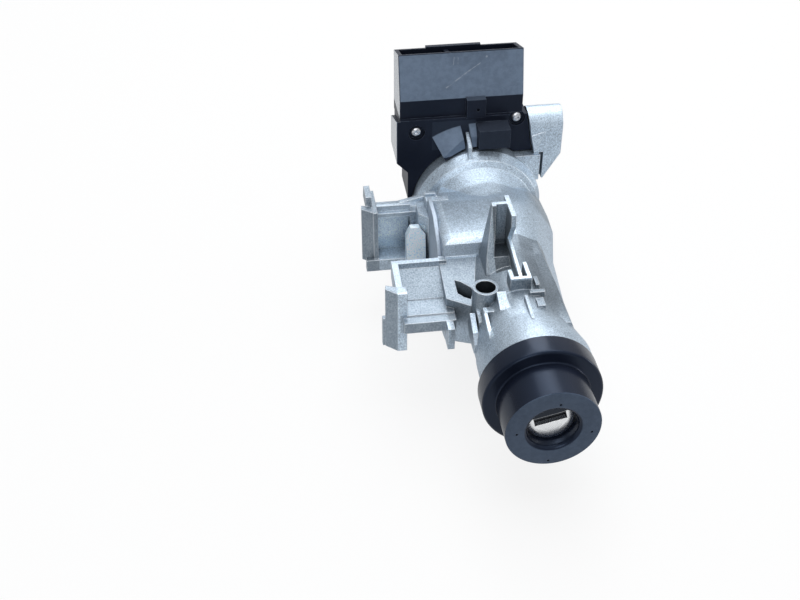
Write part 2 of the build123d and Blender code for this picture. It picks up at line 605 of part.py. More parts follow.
def switch_housing():
    """Black switch body with its open connector box, plate, snap tab and block."""
    plate = prism_y(
        [(-31.8, SWITCH_TOP), (-31.8, 19.1), (-27.4, 14.6), (-27.4, 2.4), (-22, 2.4), (-22, 0), (20, 0),
         (20, 20), (21.9, 21.2), (20.6, 27), (18.9, SWITCH_TOP)], SWITCH_FRONT, SWITCH_REAR)
    round_back = rod_y(SWITCH_R, DRUM_END, SWITCH_REAR)
    plate -= rod_y(DRUM_R + 0.4, SWITCH_FRONT - 1, DRUM_END)
    plate -= prism_x([(131, SWITCH_TOP), (150, 30.7), (150, 39), (131, 39)], -33, BOX_LEFT)
    plate -= block((9.5, 30), (SWITCH_FRONT - 1, DRUM_END), (-5, 21.3))
    spigot = rod_y(SPIGOT_R, SPIGOT_START, DRUM_END + 1)
    raised = block((-18.3, 3.0), (BOX_REAR - BOX_WALL, BOX_REAR), (BOX_REAR_TOP - 6, BOX_REAR_TOP + 1.0))
    hollow = prism_x(
        [(SWITCH_BAND + BOX_WALL, BOX_FLOOR), (SWITCH_BAND + BOX_WALL, BOX_KNEE),
         (BOX_FRONT_TOP_Y + BOX_WALL, BOX_TOP + 2), (BOX_REAR - BOX_WALL, BOX_TOP + 2),
         (BOX_REAR - BOX_WALL, BOX_FLOOR)], BOX_LEFT + BOX_WALL, BOX_RIGHT - BOX_WALL)
    divider = prism_x([(134.5, 39), (134.5, 45), (138.4, 60.6), (149.5, 57.6), (149.5, 39)], -11.4, -9.8)
    lug = block((-5.0, 2.4), (130.6, SWITCH_BAND + 1), (37.6, 45.4))
    lug_hole = rod_y(0.6, 129, 132.5, x=-0.6, z=41)
    step = block((-1.0, 11.2), (124.2, SWITCH_FRONT + 1), (27.4, 35.2))
    step -= rod_y(DRUM_R + 0.4, 120, DRUM_END)
    rotor_bore = rod_y(ROTOR_BORE_R, SPIGOT_START - 1, SWITCH_REAR + 1)
    solid = plate + round_back + spigot + connector_box() + raised - hollow + divider
    solid += lug - lug_hole + step + snap_tabs()
    for x, z in (SCREW_LEFT, SCREW_RIGHT):
        solid -= rod_y(SCREW_RECESS_R, SWITCH_FRONT - 2, SWITCH_FRONT + 1.6, x=x, z=z)
        solid -= rod_y(SCREW_SHANK_R, SWITCH_FRONT, SWITCH_FRONT + 12, x=x, z=z)
    cover_seat = block((-21, 21), (SWITCH_REAR - COVER_THICKNESS, SWITCH_REAR + 1), (-19, 21))
    return solid - rotor_bore - (cover_seat & rod_y(21.5, SWITCH_REAR - 4, SWITCH_REAR + 2))


def snap_tabs():
    """Two sloping snap tabs over the drum, one each side of its rib."""
    cone = turned([(125.6, 26.4), (125.6, 28.0), (SWITCH_FRONT, 35.0), (SWITCH_FRONT + 1, 35.0),
                   (SWITCH_FRONT + 1, 31.5), (128.4, 26.4)])
    reach = 45.0
    wide = sector(-31.0, -11.6, reach)
    wide &= prism_z([(-30, 124.5), (-14.4, 125.4), (-5, 128.4), (-5, 140), (-30, 140)], 15, 45)
    narrow = sector(-6.4, -1.4, reach) & block((-10, 5), (128.2, 140), (15, 45))
    return (cone & wide) + (cone & narrow)


def sector(start, end, reach):
    """Wedge about the lock axis between two angles from the vertical, in degrees."""
    corners = [(reach * math.sin(math.radians(angle)), reach * math.cos(math.radians(angle)))
               for angle in (start, end)]
    return prism_y([(0, 0)] + corners, 120, 140)


def switch_screw(place):
    """Pan-head screw of the switch, with a hexagon recess."""
    x, z = place
    head = rod_y(SCREW_HEAD_R, SWITCH_FRONT + 0.1, SWITCH_FRONT + 1.6, x=x, z=z)
    head = fillet(head.edges().filter_by(GeomType.CIRCLE).sort_by(Axis.Y)[0], 0.6)
    shank = rod_y(SCREW_SHANK_R, SWITCH_FRONT + 1, SWITCH_FRONT + 11, x=x, z=z)
    socket = Pos(x, SWITCH_FRONT + 0.1, z) * Rot(-90, 0, 0) * extrude(RegularPolygon(0.9, 6), 0.9)
    return head + shank - socket


def switch_screw_left():
    """Left screw."""
    return switch_screw(SCREW_LEFT)


def switch_screw_right():
    """Right screw."""
    return switch_screw(SCREW_RIGHT)


def switch_rotor():
    """Turning contact carrier driven by the shaft's square."""
    carrier = rod_y(ROTOR_R, ROTOR_START, ROTOR_END)
    square = block((-SQUARE_DRIVE / 2, SQUARE_DRIVE / 2), (ROTOR_START - 1, SQUARE_END + 0.2),
                   (-SQUARE_DRIVE / 2, SQUARE_DRIVE / 2))
    pockets = [Rot(0, angle, 0) * block((7.5, 12.5), (ROTOR_END - 3, ROTOR_END + 1), (-2.0, 2.0))
               for angle in (0, 120, 240)]
    carrier -= square
    for pocket in pockets:
        carrier -= pocket
    return carrier


def contact_bridges():
    """Sprung copper bridges in the rotor's back face."""
    bridges = []
    for angle in (0, 120, 240):
        strip = block((7.7, 12.3), (ROTOR_END - 2.9, ROTOR_END - 2.2), (-1.8, 1.8))
        point = Pos(10, ROTOR_END - 2.2, 0) * Sphere(1.4)
        bridge = strip + (point & block((7.7, 12.3), (ROTOR_END - 2.2, ROTOR_END), (-1.8, 1.8)))
        bridges.append(Rot(0, angle, 0) * bridge)
    return Compound(children=[Solid(bridge.solid().wrapped) for bridge in bridges])


def contact_board():
    """Fixed contact plate behind the rotor."""
    return rod_y(ROTOR_BORE_R, ROTOR_END + 0.1, SWITCH_REAR - COVER_THICKNESS)


def terminals():
    """Blade terminals standing in the connector box."""
    blades = []
    for x in (-25.5, -20.5, -15.5, -5.5, -0.5, 4.5, 9.5):
        blades.append(Solid(block((x - 1.4, x + 1.4), (143.4, 144.2), (BOX_FLOOR, 54)).solid().wrapped))
    return Compound(children=blades)


def switch_cover():
    """Rear cover snapped into the switch body."""
    seat = block((-21, 21), (SWITCH_REAR - COVER_THICKNESS, SWITCH_REAR), (-19, 21))
    return seat & rod_y(21.5, SWITCH_REAR - 4, SWITCH_REAR + 2)


PARTS = {
    "housing": housing,
    "coil_collar": coil_collar,
    "antenna_coil": antenna_coil,
    "cylinder_sleeve": cylinder_sleeve,
    "key_plug": key_plug,
    "wafers": wafers,
    "plug_face": plug_face,
    "shutter_flap": shutter_flap,
    "shutter_pin": shutter_pin,
    "driver_shaft": driver_shaft,
    "lock_cam": lock_cam,
    "lock_bolt": lock_bolt,
    "bolt_spring": bolt_spring,
    "bolt_cover_plate": bolt_cover_plate,
    "switch_housing": switch_housing,
    "switch_screw_left": switch_screw_left,
    "switch_screw_right": switch_screw_right,
    "switch_rotor": switch_rotor,
    "contact_bridges": contact_bridges,
    "contact_board": contact_board,
    "terminals": terminals,
    "switch_cover": switch_cover,
}

os.makedirs("parts", exist_ok=True)
for name, make in PARTS.items():
    export_step(make(), os.path.join("parts", name + ".step"))
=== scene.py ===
"""Steering lock: finishes, fine pieces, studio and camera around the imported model. Metres."""

import json
import logging
import math
from dataclasses import dataclass, field
from enum import Enum
from typing import Any, Callable, Mapping, Optional, Sequence, Union

import bmesh
import bpy
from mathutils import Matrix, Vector


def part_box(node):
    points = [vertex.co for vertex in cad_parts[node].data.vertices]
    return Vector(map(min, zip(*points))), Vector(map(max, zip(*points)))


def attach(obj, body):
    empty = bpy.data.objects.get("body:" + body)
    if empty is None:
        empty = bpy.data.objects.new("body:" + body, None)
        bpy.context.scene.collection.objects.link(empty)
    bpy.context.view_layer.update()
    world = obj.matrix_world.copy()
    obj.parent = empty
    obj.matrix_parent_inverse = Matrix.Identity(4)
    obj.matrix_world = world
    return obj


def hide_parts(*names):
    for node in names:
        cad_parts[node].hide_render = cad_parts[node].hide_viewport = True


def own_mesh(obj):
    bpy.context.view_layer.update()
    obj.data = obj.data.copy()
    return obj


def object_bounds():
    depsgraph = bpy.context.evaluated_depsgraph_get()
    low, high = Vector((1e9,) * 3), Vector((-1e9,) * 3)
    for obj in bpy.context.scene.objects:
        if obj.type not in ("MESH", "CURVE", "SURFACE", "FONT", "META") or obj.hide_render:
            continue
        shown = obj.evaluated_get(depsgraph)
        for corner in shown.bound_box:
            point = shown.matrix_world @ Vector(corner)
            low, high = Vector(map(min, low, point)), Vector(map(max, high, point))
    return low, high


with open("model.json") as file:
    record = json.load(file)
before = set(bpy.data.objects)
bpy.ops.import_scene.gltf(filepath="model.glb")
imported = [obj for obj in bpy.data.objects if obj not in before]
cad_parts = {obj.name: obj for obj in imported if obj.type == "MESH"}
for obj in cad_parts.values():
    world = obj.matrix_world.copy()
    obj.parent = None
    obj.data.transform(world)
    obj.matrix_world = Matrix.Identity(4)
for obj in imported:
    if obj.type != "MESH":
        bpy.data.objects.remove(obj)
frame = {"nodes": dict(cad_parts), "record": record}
CAD_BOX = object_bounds()

MM = 0.001
LOG = logging.getLogger("steering_lock")
# corners sharper than this are rounded, and edges blunter than this are shaded smooth, in degrees
ROUND_ANGLE = 32.0
SMOOTH_ANGLE = 28.0
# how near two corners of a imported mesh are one, and how flat two triangles are one face, in degrees
SAME_PLACE = 0.002 * MM
SAME_PLANE = 0.3

Colour = tuple[float, float, float]
Point = tuple[float, float, float]
Outline = list[tuple[float, float]]


class Body(Enum):
    """The bodies that move against each other."""

    HOUSING = "housing"
    ROTOR = "key_rotor"
    BOLT = "bolt"
    SHUTTER = "shutter"


class Corner(Enum):
    """How strongly a piece's corners are rounded, in metres."""

    CAST = 0.45 * MM
    MOULDED = 0.25 * MM
    PRESSED = 0.12 * MM
    NONE = 0.0


def math_operator(operation: str, turned: bool = False) -> Callable[["Socket", Any], "Socket"]:
    """Make an operator that adds one Math node.

    Args:
        operation: The Math node's operation.
        turned: Whether the other value comes first.

    Returns:
        The operator, for the Socket class.
    """
    def method(own: "Socket", other: Any) -> "Socket":
        """The two values put through the node."""
        pair = (other, own) if turned else (own, other)
        return own.tree.node("ShaderNodeMath", {"operation": operation}, {0: pair[0], 1: pair[1]})
    return method


class Socket:
    """A node's output that takes part in Python arithmetic. Above an edge, over gives one, else nought."""

    __add__, __radd__ = math_operator("ADD"), math_operator("ADD", turned=True)
    __sub__, __rsub__ = math_operator("SUBTRACT"), math_operator("SUBTRACT", turned=True)
    __mul__, __rmul__ = math_operator("MULTIPLY"), math_operator("MULTIPLY", turned=True)
    __truediv__ = math_operator("DIVIDE")
    __pow__ = math_operator("POWER")
    over = math_operator("GREATER_THAN")

    def __init__(self, tree: "Tree", link: bpy.types.NodeSocket) -> None:
        """Wrap one output.

        Args:
            tree: The tree that the output belongs to.
            link: The output itself.
        """
        self.tree = tree
        self.link = link

    def beside(self, output: Union[int, str]) -> "Socket":
        """Another output of the same node."""
        return Socket(self.tree, self.link.node.outputs[output])

    def step(self, low: float, high: float) -> "Socket":
        """Rise smoothly from nought at low to one at high."""
        return self.tree.node("ShaderNodeMapRange", {"interpolation_type": "SMOOTHSTEP", "clamp": True},
                              {"Value": self, "From Min": low, "From Max": high})


class Tree:
    """A node tree, with the one method that makes its nodes."""

    def __init__(self, node_tree: bpy.types.NodeTree) -> None:
        """Start on an empty tree.

        Args:
            node_tree: Blender's own tree.
        """
        self.node_tree = node_tree
        node_tree.nodes.clear()

    def node(self, kind: str, settings: Optional[Mapping[str, Any]] = None,
             inputs: Optional[Mapping[Union[int, str], Any]] = None,
             output: Union[int, str] = 0) -> Optional[Socket]:
        """Make a node, set it up and link it.

        Args:
            kind: Blender's name for the node's type.
            settings: Its properties, set first.
            inputs: Values or sockets for its inputs, by name or number. A list links several to one input.
            output: The output to return.

        Returns:
            The output asked for, or None for a node without outputs.
        """
        made = self.node_tree.nodes.new(kind)
        for name, value in (settings or {}).items():
            setattr(made, name, value)
        for name, value in (inputs or {}).items():
            for part in value if isinstance(value, list) else [value]:
                if isinstance(part, Socket):
                    self.node_tree.links.new(part.link, made.inputs[name])
                else:
                    made.inputs[name].default_value = part
        return Socket(self, made.outputs[output]) if len(made.outputs) else None

    def noise(self, place: Socket, cell: float, detail: float = 2.0, rough: float = 0.5) -> Socket:
        """Noise of a given cell size in metres, about 0.5 on average."""
        return self.node("ShaderNodeTexNoise", inputs={"Vector": place, "Scale": 1 / cell, "Detail": detail,
                                                       "Roughness": rough})

    def blend(self, share: Any, first: Any, second: Any, way: str = "MIX") -> Socket:
        """Mix two colours.

        Args:
            share: How much of the second shows.
            first: Colour or socket.
            second: Colour or socket.
            way: How the Mix node joins them.

        Returns:
            The mixed colour.
        """
        ends = [(*end, 1.0) if isinstance(end, tuple) else end for end in (first, second)]
        return self.node("ShaderNodeMix", {"data_type": "RGBA", "blend_type": way},
                         {0: share, 6: ends[0], 7: ends[1]}, output=2)

    def axes(self, vector: Socket) -> tuple[Socket, Socket, Socket]:
        """The three parts of a vector."""
        first = self.node("ShaderNodeSeparateXYZ", inputs={0: vector})
        return first, first.beside(1), first.beside(2)

    def place(self) -> Socket:
        """Where on the piece, in its own coordinates."""
        return self.node("ShaderNodeTexCoord", output="Object")

    def dot(self, first: Any, second: Any) -> Socket:
        """Dot product of two vectors."""
        return self.node("ShaderNodeVectorMath", {"operation": "DOT_PRODUCT"}, {0: first, 1: second},
                         output="Value")

    def rounded(self, radius: float) -> Socket:
        """Normal that runs smoothly over sharp corners."""
        return self.node("ShaderNodeBevel", {"samples": 4}, {"Radius": radius})

    def corners(self, rounded: Socket) -> Socket:
        """How far the rounded normal leans from the plain one: nought away from the corners."""
        return 1 - self.dot(rounded, self.node("ShaderNodeNewGeometry", output="Normal"))

    def bump(self, strength: float, depth: float, height: Socket, normal: Optional[Socket] = None) -> Socket:
        """Turn a height into a normal.

        Args:
            strength: How much of the relief shows.
            depth: Its full depth in metres.
            height: The height, from nought to one.
            normal: The normal that it starts from, or None for the mesh's own.

        Returns:
            The new normal.
        """
        inputs = {"Strength": strength, "Distance": depth, "Height": height}
        if normal is not None:
            inputs["Normal"] = normal
        return self.node("ShaderNodeBump", inputs=inputs)

    def looked_at(self, mirrored: Any) -> Socket:
        """Tell what is looked at from what only gives light.

        Args:
            mirrored: Share that counts as looked at in a mirror.

        Returns:
            One for the camera and through glass, the share in a mirror, else nought.
        """
        seen = self.node("ShaderNodeLightPath", output="Is Camera Ray")
        mirror = seen.beside("Is Glossy Ray") * mirrored
        return 1 - (1 - seen) * (1 - mirror) * (1 - seen.beside("Is Transmission Ray"))


@dataclass(frozen=True)
class Zone:
    """Part of a piece whose surface has a tone set apart, mostly painted light, shade and sheen.

    Attributes:
        low: Its lowest corner in millimetres.
        high: Its highest corner.
        tone: What the alloy's colour is multiplied by, or the plastic's colour there.
        soft: Half the width of its soft edge.
        fade: The same for each low side, where that differs.
        coat: Clear coat that it adds.
        hole: Whether it is only the upright round hole that fills the box.
        ring: Radius round the lock axis that it leaves out.
        ring_soft: Half the width of that ring's soft edge.
    """

    low: Point
    high: Point
    tone: Colour
    soft: float = 0.15
    fade: Optional[Point] = None
    coat: float = 0.0
    hole: bool = False
    ring: float = 0.0
    ring_soft: float = 0.25

    def mask(self, tree: Tree, place: Socket) -> Socket:
        """Find the zone.

        Args:
            tree: The material's tree.
            place: Where on the piece.

        Returns:
            One inside the zone, nought outside.
        """
        found: Any = 1.0
        parts = tree.axes(place)
        for part, low, high, fade in zip(parts, self.low, self.high, self.fade or (self.soft,) * 3):
            after = part.step((low - fade) * MM, (low + fade) * MM)
            past = part.step((high - self.soft) * MM, (high + self.soft) * MM)
            found = after * (1 - past) * found
        if self.hole:
            x, y = (part - (low + high) / 2 * MM for part, low, high in zip(parts[:2], self.low, self.high))
            reach = (x ** 2 + y ** 2) ** 0.5
            found = found * (1 - reach.over((self.high[0] - self.low[0]) / 2 * MM))
        if self.ring:
            reach = (parts[0] ** 2 + parts[2] ** 2) ** 0.5
            found = found * reach.step((self.ring - self.ring_soft) * MM, (self.ring + self.ring_soft) * MM)
        return found


@dataclass(frozen=True)
class Scratch:
    """A thin straight scratch.

    Attributes:
        start: One end in millimetres.
        end: The other end.
        width: Half its width.
        core: Share of that where it is at full strength.
    """

    start: Point
    end: Point
    width: float
    core: float = 0.4

    def mask(self, tree: Tree, place: Socket) -> Socket:
        """Find the scratch.

        Args:
            tree: The material's tree.
            place: Where on the piece.

        Returns:
            One on the scratch, nought away from it.
        """
        start = Vector(self.start) * MM
        run = Vector(self.end) * MM - start
        along = tree.dot(place, run.normalized()) - run.normalized().dot(start)
        reach = tree.node("ShaderNodeVectorMath", {"operation": "DISTANCE"}, {0: place, 1: start},
                          output="Value")
        across = (reach * reach - along * along) ** 0.5
        inside = along.over(0.0) * (run.length - along).over(0.0)
        return (1 - across.step(self.width * MM * self.core, self.width * MM)) * inside


@dataclass(frozen=True)
class Finish:
    """A material with a name."""

    name: str

    def material(self) -> bpy.types.Material:
        """Make the material when it is first asked for.

        Returns:
            The material.
        """
        found = bpy.data.materials.get(self.name)
        if found:
            return found
        made = bpy.data.materials.new(self.name)
        made.use_nodes = True
        tree = Tree(made.node_tree)
        tree.node("ShaderNodeOutputMaterial", inputs={"Surface": self.surface(tree)})
        return made

    def surface(self, tree: Tree) -> Socket:
        """The shader. Each kind of finish has its own."""
        raise NotImplementedError


@dataclass(frozen=True)
class CastAlloy(Finish):
    """Blasted die casting: bright grain, small pits, painted shade in recesses, rubbed edges, zones of
    painted light and shade.
    """

    light: Colour
    shade: Colour
    rubbed: Colour
    zones: tuple[Zone, ...] = ()
    grain: float = 0.42 * MM
    patches: float = 3.2 * MM
    clouds: float = 16.0 * MM
    pits: float = 1.1 * MM
    pitted: float = 0.35
    edge_share: float = 0.85
    roughness: float = 0.4
    metallic: float = 0.68
    rounding: float = 0.4 * MM
    relief: float = 0.6
    depth: float = 0.06 * MM
    # painted shade in recesses: how far the occlusion reaches, and how dark it paints them
    recess: float = 9.0 * MM
    painted_recess_shade: float = 0.14

    def surface(self, tree: Tree) -> Socket:
        """Grain, cloudy tone, pits, painted shade in recesses, zones of painted light and shade, and rubbed
        edges on a partly metallic base.

        Args:
            tree: The material's tree.

        Returns:
            The shader.
        """
        place = tree.place()
        grain = tree.noise(place, self.grain, 3.0, 0.7)
        patch = tree.noise(place, self.patches, 3.0, 0.6)
        cloud = tree.noise(place, self.clouds)
        pits = tree.noise(place, self.pits, 2.0, 0.4).step(0.66, 0.72)
        rounded = tree.rounded(self.rounding)
        open_air = tree.node("ShaderNodeAmbientOcclusion", {"samples": 6}, {"Distance": self.recess},
                             output="AO")
        rubbed = (tree.corners(rounded) * 12).step(0.08, 0.8) * open_air.step(0.3, 0.65)
        speckle = grain.step(0.34, 0.66) * 0.8 + patch.step(0.34, 0.66) * 0.1 + cloud.step(0.35, 0.65) * 0.1
        colour = tree.blend(speckle, self.shade, self.light)
        colour = tree.blend(pits * self.pitted, colour, dimmed(self.shade, 0.45))
        # zones of painted light and shade, multiplied into the colour
        for zone in self.zones:
            colour = tree.blend(zone.mask(tree, place), colour, zone.tone, "MULTIPLY")
        colour = tree.blend(rubbed * self.edge_share, colour, self.rubbed)
        # painted shade: colour darkened towards the shade colour in recesses, found by ambient occlusion
        colour = tree.blend(open_air.step(0.06, 0.36), dimmed(self.shade, self.painted_recess_shade), colour)
        height = grain * 0.8 + patch * 0.5 - pits * 0.4
        return tree.node("ShaderNodeBsdfPrincipled", inputs={
            "Base Color": colour, "Metallic": self.metallic,
            "Roughness": self.roughness + 0.12 * grain - 0.14 * rubbed,
            "Normal": tree.bump(self.relief, self.depth, height, rounded)})


@dataclass(frozen=True)
class MouldedPlastic(Finish):
    """Black injection moulding: fine texture, zones of other tone that are mostly painted sheen, painted
    sheen and scuffs along the edges, and scratches.
    """

    base: Colour
    sheen: Colour
    zones: tuple[Zone, ...] = ()
    scratches: tuple[Scratch, ...] = ()
    # colour of the painted sheen along the edges
    edge: Colour = (0.055, 0.072, 0.105)
    scuffed: Colour = (0.22, 0.26, 0.33)
    scratched: Colour = (0.42, 0.48, 0.57)
    roughness: float = 0.36
    gloss: float = 0.2
    coat: float = 0.0
    tint: Colour = (0.55, 0.72, 1.0)
    texture: float = 0.25 * MM
    clouds: float = 18.0 * MM
    blotches: float = 2.2 * MM
    scuffs: float = 2.5 * MM
    breaks: float = 1.6 * MM
    relief: float = 0.12
    depth: float = 0.03 * MM
    rounding: float = 0.3 * MM
    # share of the painted sheen along the edges
    edge_share: float = 0.75

    def surface(self, tree: Tree) -> Socket:
        """Dark base, zones of paler matt texture that mostly carry painted sheen, painted sheen along the
        edges with scuffs there, and light scratches.

        Args:
            tree: The material's tree.

        Returns:
            The shader.
        """
        place = tree.place()
        fine = tree.noise(place, self.texture)
        cloud = tree.noise(place, self.clouds)
        blotches = tree.noise(place, self.blotches, 4.0, 0.65).step(0.35, 0.65)
        rounded = tree.rounded(self.rounding)
        colour = tree.blend(cloud.step(0.3, 0.75), self.base, self.sheen)
        coat: Any = self.coat
        rough: Any = self.roughness + 0.1 * cloud
        uneven = 0.7 + 0.16 * cloud.step(0.35, 0.65) + 0.16 * blotches + 0.3 * (fine - 0.5)
        # zones, mostly painted sheen, with more roughness and, where given, clear coat
        for zone in self.zones:
            mask = zone.mask(tree, place)
            colour = tree.blend(mask * uneven, colour, zone.tone)
            rough = mask * 0.2 + rough
            if zone.coat:
                coat = mask * zone.coat + coat
        # painted sheen along the edges, and scuffs on part of them
        edge_sheen_and_wear = (tree.corners(rounded) * 10).step(0.1, 0.9)
        colour = tree.blend(edge_sheen_and_wear * self.edge_share, colour, self.edge)
        scuffed = edge_sheen_and_wear * tree.noise(place, self.scuffs, 3.0).step(0.42, 0.6)
        colour = tree.blend(scuffed * 0.35, colour, self.scuffed)
        for scratch in self.scratches:
            broken = tree.noise(place, self.breaks, 3.0).step(0.36, 0.56)
            colour = tree.blend(scratch.mask(tree, place) * broken * 0.7, colour, self.scratched)
        return tree.node("ShaderNodeBsdfPrincipled", inputs={
            "Base Color": colour, "Roughness": rough, "Specular IOR Level": self.gloss,
            "Specular Tint": (*self.tint, 1.0), "Coat Weight": coat, "Coat Roughness": 0.1,
            "Normal": tree.bump(self.relief, self.depth, fine, rounded)})


@dataclass(frozen=True)
class BrightMetal(Finish):
    """Plated, pressed or turned metal with fine marks, drawn out along Y."""

    colour: Colour
    roughness: float = 0.2
    uneven: float = 0.15
    marks: float = 0.5 * MM
    drawn: float = 0.2
    dull_marks_and_shadow: float = 0.78
    metallic: float = 1.0
    rounding: float = 0.12 * MM
    relief: float = 0.1
    depth: float = 0.02 * MM

    def surface(self, tree: Tree) -> Socket:
        """Metal whose roughness and tone vary a little along fine marks.

        Args:
            tree: The material's tree.

        Returns:
            The shader.
        """
        place = tree.place()
        drawn = tree.node("ShaderNodeMapping", inputs={"Vector": place, "Scale": (1.0, self.drawn, 1.0)})
        marks = tree.noise(drawn, self.marks, 3.0, 0.6)
        colour = tree.blend(marks.step(0.3, 0.7), dimmed(self.colour, self.dull_marks_and_shadow), self.colour)
        return tree.node("ShaderNodeBsdfPrincipled", inputs={
            "Base Color": self.shown(tree, place, colour), "Metallic": self.metallic,
            "Roughness": self.roughness + self.uneven * marks,
            "Normal": tree.bump(self.relief, self.depth, marks, tree.rounded(self.rounding))})

    def shown(self, tree: Tree, place: Socket, colour: Socket) -> Socket:
        """The colour that shows."""
        return colour


@dataclass(frozen=True)
class FaceChrome(BrightMetal):
    """Satin chrome of the pressed face, with painted shadow above the key slot where it sits under the rim.
    """

    uneven: float = 0.1
    drawn: float = 1.0
    dull_marks_and_shadow: float = 0.9
    shadow: Colour = (0.03, 0.035, 0.045)
    tilt: float = math.radians(14.0)
    slot_top: float = 3.0 * MM

    def shown(self, tree: Tree, place: Socket, colour: Socket) -> Socket:
        """Paint shadow on the part above the slot.

        Args:
            tree: The material's tree.
            place: Where on the piece.
            colour: The metal's colour.

        Returns:
            The colour that shows.
        """
        x, _, z = tree.axes(place)
        height = z * math.cos(self.tilt) - x * math.sin(self.tilt)
        # painted shadow of the rim on the part above the slot
        dull_marks_and_shadow = height.step(self.slot_top - 0.2 * MM, self.slot_top + 0.3 * MM)
        return tree.blend(dull_marks_and_shadow, colour, self.shadow)


@dataclass(frozen=True)
class Board(Finish):
    """Paper-reinforced resin plate or pale moulding, matt, with faint fibres."""

    colour: Colour
    roughness: float = 0.6
    fibres: float = 0.7 * MM
    relief: float = 0.2
    depth: float = 0.03 * MM

    def surface(self, tree: Tree) -> Socket:
        """Matt colour with faint fibres.

        Args:
            tree: The material's tree.

        Returns:
            The shader.
        """
        fibres = tree.noise(tree.place(), self.fibres, 4.0, 0.7)
        colour = tree.blend(fibres.step(0.3, 0.7), dimmed(self.colour, 0.7), self.colour)
        return tree.node("ShaderNodeBsdfPrincipled", inputs={
            "Base Color": colour, "Roughness": self.roughness,
            "Normal": tree.bump(self.relief, self.depth, fibres)})


@dataclass(frozen=True)
class Backdrop(Finish):
    """White table that takes a soft shadow, looks white when looked at and bounces less light."""

    lit: Colour = (0.36, 0.37, 0.38)
    seen: Colour = (0.92, 0.93, 0.94)
    mirrored: float = 0.54
    glow: float = 0.84

    def surface(self, tree: Tree) -> Socket:
        """Matt surface, lightened where the camera or a mirror looks at it.

        Args:
            tree: The material's tree.

        Returns:
            The shader.
        """
        looked_at = tree.looked_at(self.mirrored)
        colour = tree.blend(looked_at, self.lit, self.seen)
        matt = tree.node("ShaderNodeBsdfDiffuse", inputs={"Color": colour})
        white = tree.node("ShaderNodeEmission", inputs={"Color": (1.0, 1.0, 1.0, 1.0), "Strength": 1.0})
        return tree.node("ShaderNodeMixShader", inputs={0: looked_at * self.glow, 1: matt, 2: white})


def grey(level: float) -> Colour:
    """A colour that dims or brightens alike in all parts."""
    return (level, level, level)


def dimmed(colour: Colour, share: float) -> Colour:
    """A colour with only a share of its brightness."""
    return tuple(part * share for part in colour)


CAST = CastAlloy(
    "cast_alloy_finish", light=(0.63, 0.74, 0.85), shade=(0.25, 0.32, 0.40), rubbed=(0.88, 0.94, 1.0),
    zones=(
        # painted shade on the barrel with its web, and on the slope up to the shoulder
        Zone((-24.6, 41.0, 1.0), (13.4, 74.9, 21.2), grey(0.6), 0.3, (0.3, 5.0, 5.0)),
        Zone((2.0, 35.5, 4.0), (13.8, 77.9, 20.4), grey(0.74), 0.3, (3.0, 4.0, 4.0)),
        Zone((0.6, 74.9, 10.0), (12.2, 77.9, 20.2), grey(0.7), 0.3),
        # painted shade on the slotted tower and in its pocket
        Zone((-10.3, 61.0, 21.2), (-4.4, 76.5, 35.8), grey(0.66)),
        Zone((-6.5, 61.0, 15.1), (-1.25, 73.75, 35.6), grey(0.36)),
        # painted shade inside the tube boss
        Zone((-15.9, 48.3, 5.0), (-8.5, 55.7, 17.5), grey(0.12), hole=True),
        # painted highlight: bright band before the shoulder's front edge
        Zone((-22.0, 76.2, 17.5), (0.5, 81.5, 20.3), grey(1.3), 0.8),
        # rear bracket: painted shade on the end wall and top, painted light in the recess and on its boss
        Zone((-49.0, 100.0, -9.5), (-42.6, 119.5, 19.6), grey(0.58)),
        Zone((-44.6, 111.25, 12.0), (-20.0, 113.2, 14.6), grey(0.62)),
        Zone((-42.6, 103.5, -5.1), (-30.0, 111.1, 10.4), grey(1.6)),
        Zone((-32.6, 96.2, -9.2), (-25.1, 102.7, 10.4), grey(2.1)),
        # front bracket: painted shade on the end plate, seat and slope, painted light on the plate's right
        # facet
        Zone((-47.0, 52.0, -10.0), (-41.9, 59.5, 16.4), grey(0.74)),
        Zone((-41.9, 52.9, -10.0), (-38.4, 54.6, 16.4), grey(1.35)),
        Zone((-41.0, 50.2, -1.0), (-21.8, 62.3, 6.7), grey(0.7)),
        Zone((-39.2, 62.3, 5.0), (-24.6, 73.1, 12.2), grey(0.84)),
        # painted shade on the right sides of the barrel and the drum
        Zone((8.0, 30.0, -30.0), (34.0, 56.0, 15.0), grey(0.72), 4.0),
        Zone((16.0, 98.0, -30.0), (34.0, 121.5, 19.0), grey(0.66), 3.5),
        # painted light on the round-topped box and on two bands of the drum
        Zone((18.4, 127.0, 9.0), (33.2, 146.5, 38.5), grey(1.22)),
        Zone((-26.0, 121.2, 8.0), (26.0, 126.4, 26.0), grey(1.3), 0.5),
        Zone((-20.0, 114.5, 8.0), (20.0, 121.2, 26.0), grey(1.2), 0.5),
        # painted highlights on the tops of the rib, the forked cradle and the small fins
        Zone((-9.4, 41.8, 15.0), (-5.8, 48.6, 18.2), grey(1.7)),
        Zone((-4.5, 49.2, 21.6), (3.1, 58.6, 22.3), grey(1.5)),
        Zone((-1.4, 49.8, 21.5), (0.1, 72.2, 25.2), grey(1.5)),
        Zone((-18.2, 38.6, 6.4), (-16.0, 48.6, 9.8), grey(1.7)),
        Zone((-15.7, 43.9, 9.8), (-14.3, 51.6, 11.0), grey(1.7)),
        Zone((-14.3, 32.9, 11.6), (-12.9, 45.9, 14.0), grey(1.7)),
        # painted highlights along two thin seams
        Zone((-17.0, 36.5, 6.0), (-1.2, 36.9, 17.6), grey(1.5), 0.05),
        Zone((-7.0, 49.0, 14.0), (3.4, 49.35, 17.6), grey(1.9), 0.05),
    ))
# painted sheen: pale blue-grey for the switch's leaning faces and left sides
SWITCH_PAINTED_SHEEN = (0.215, 0.285, 0.395)
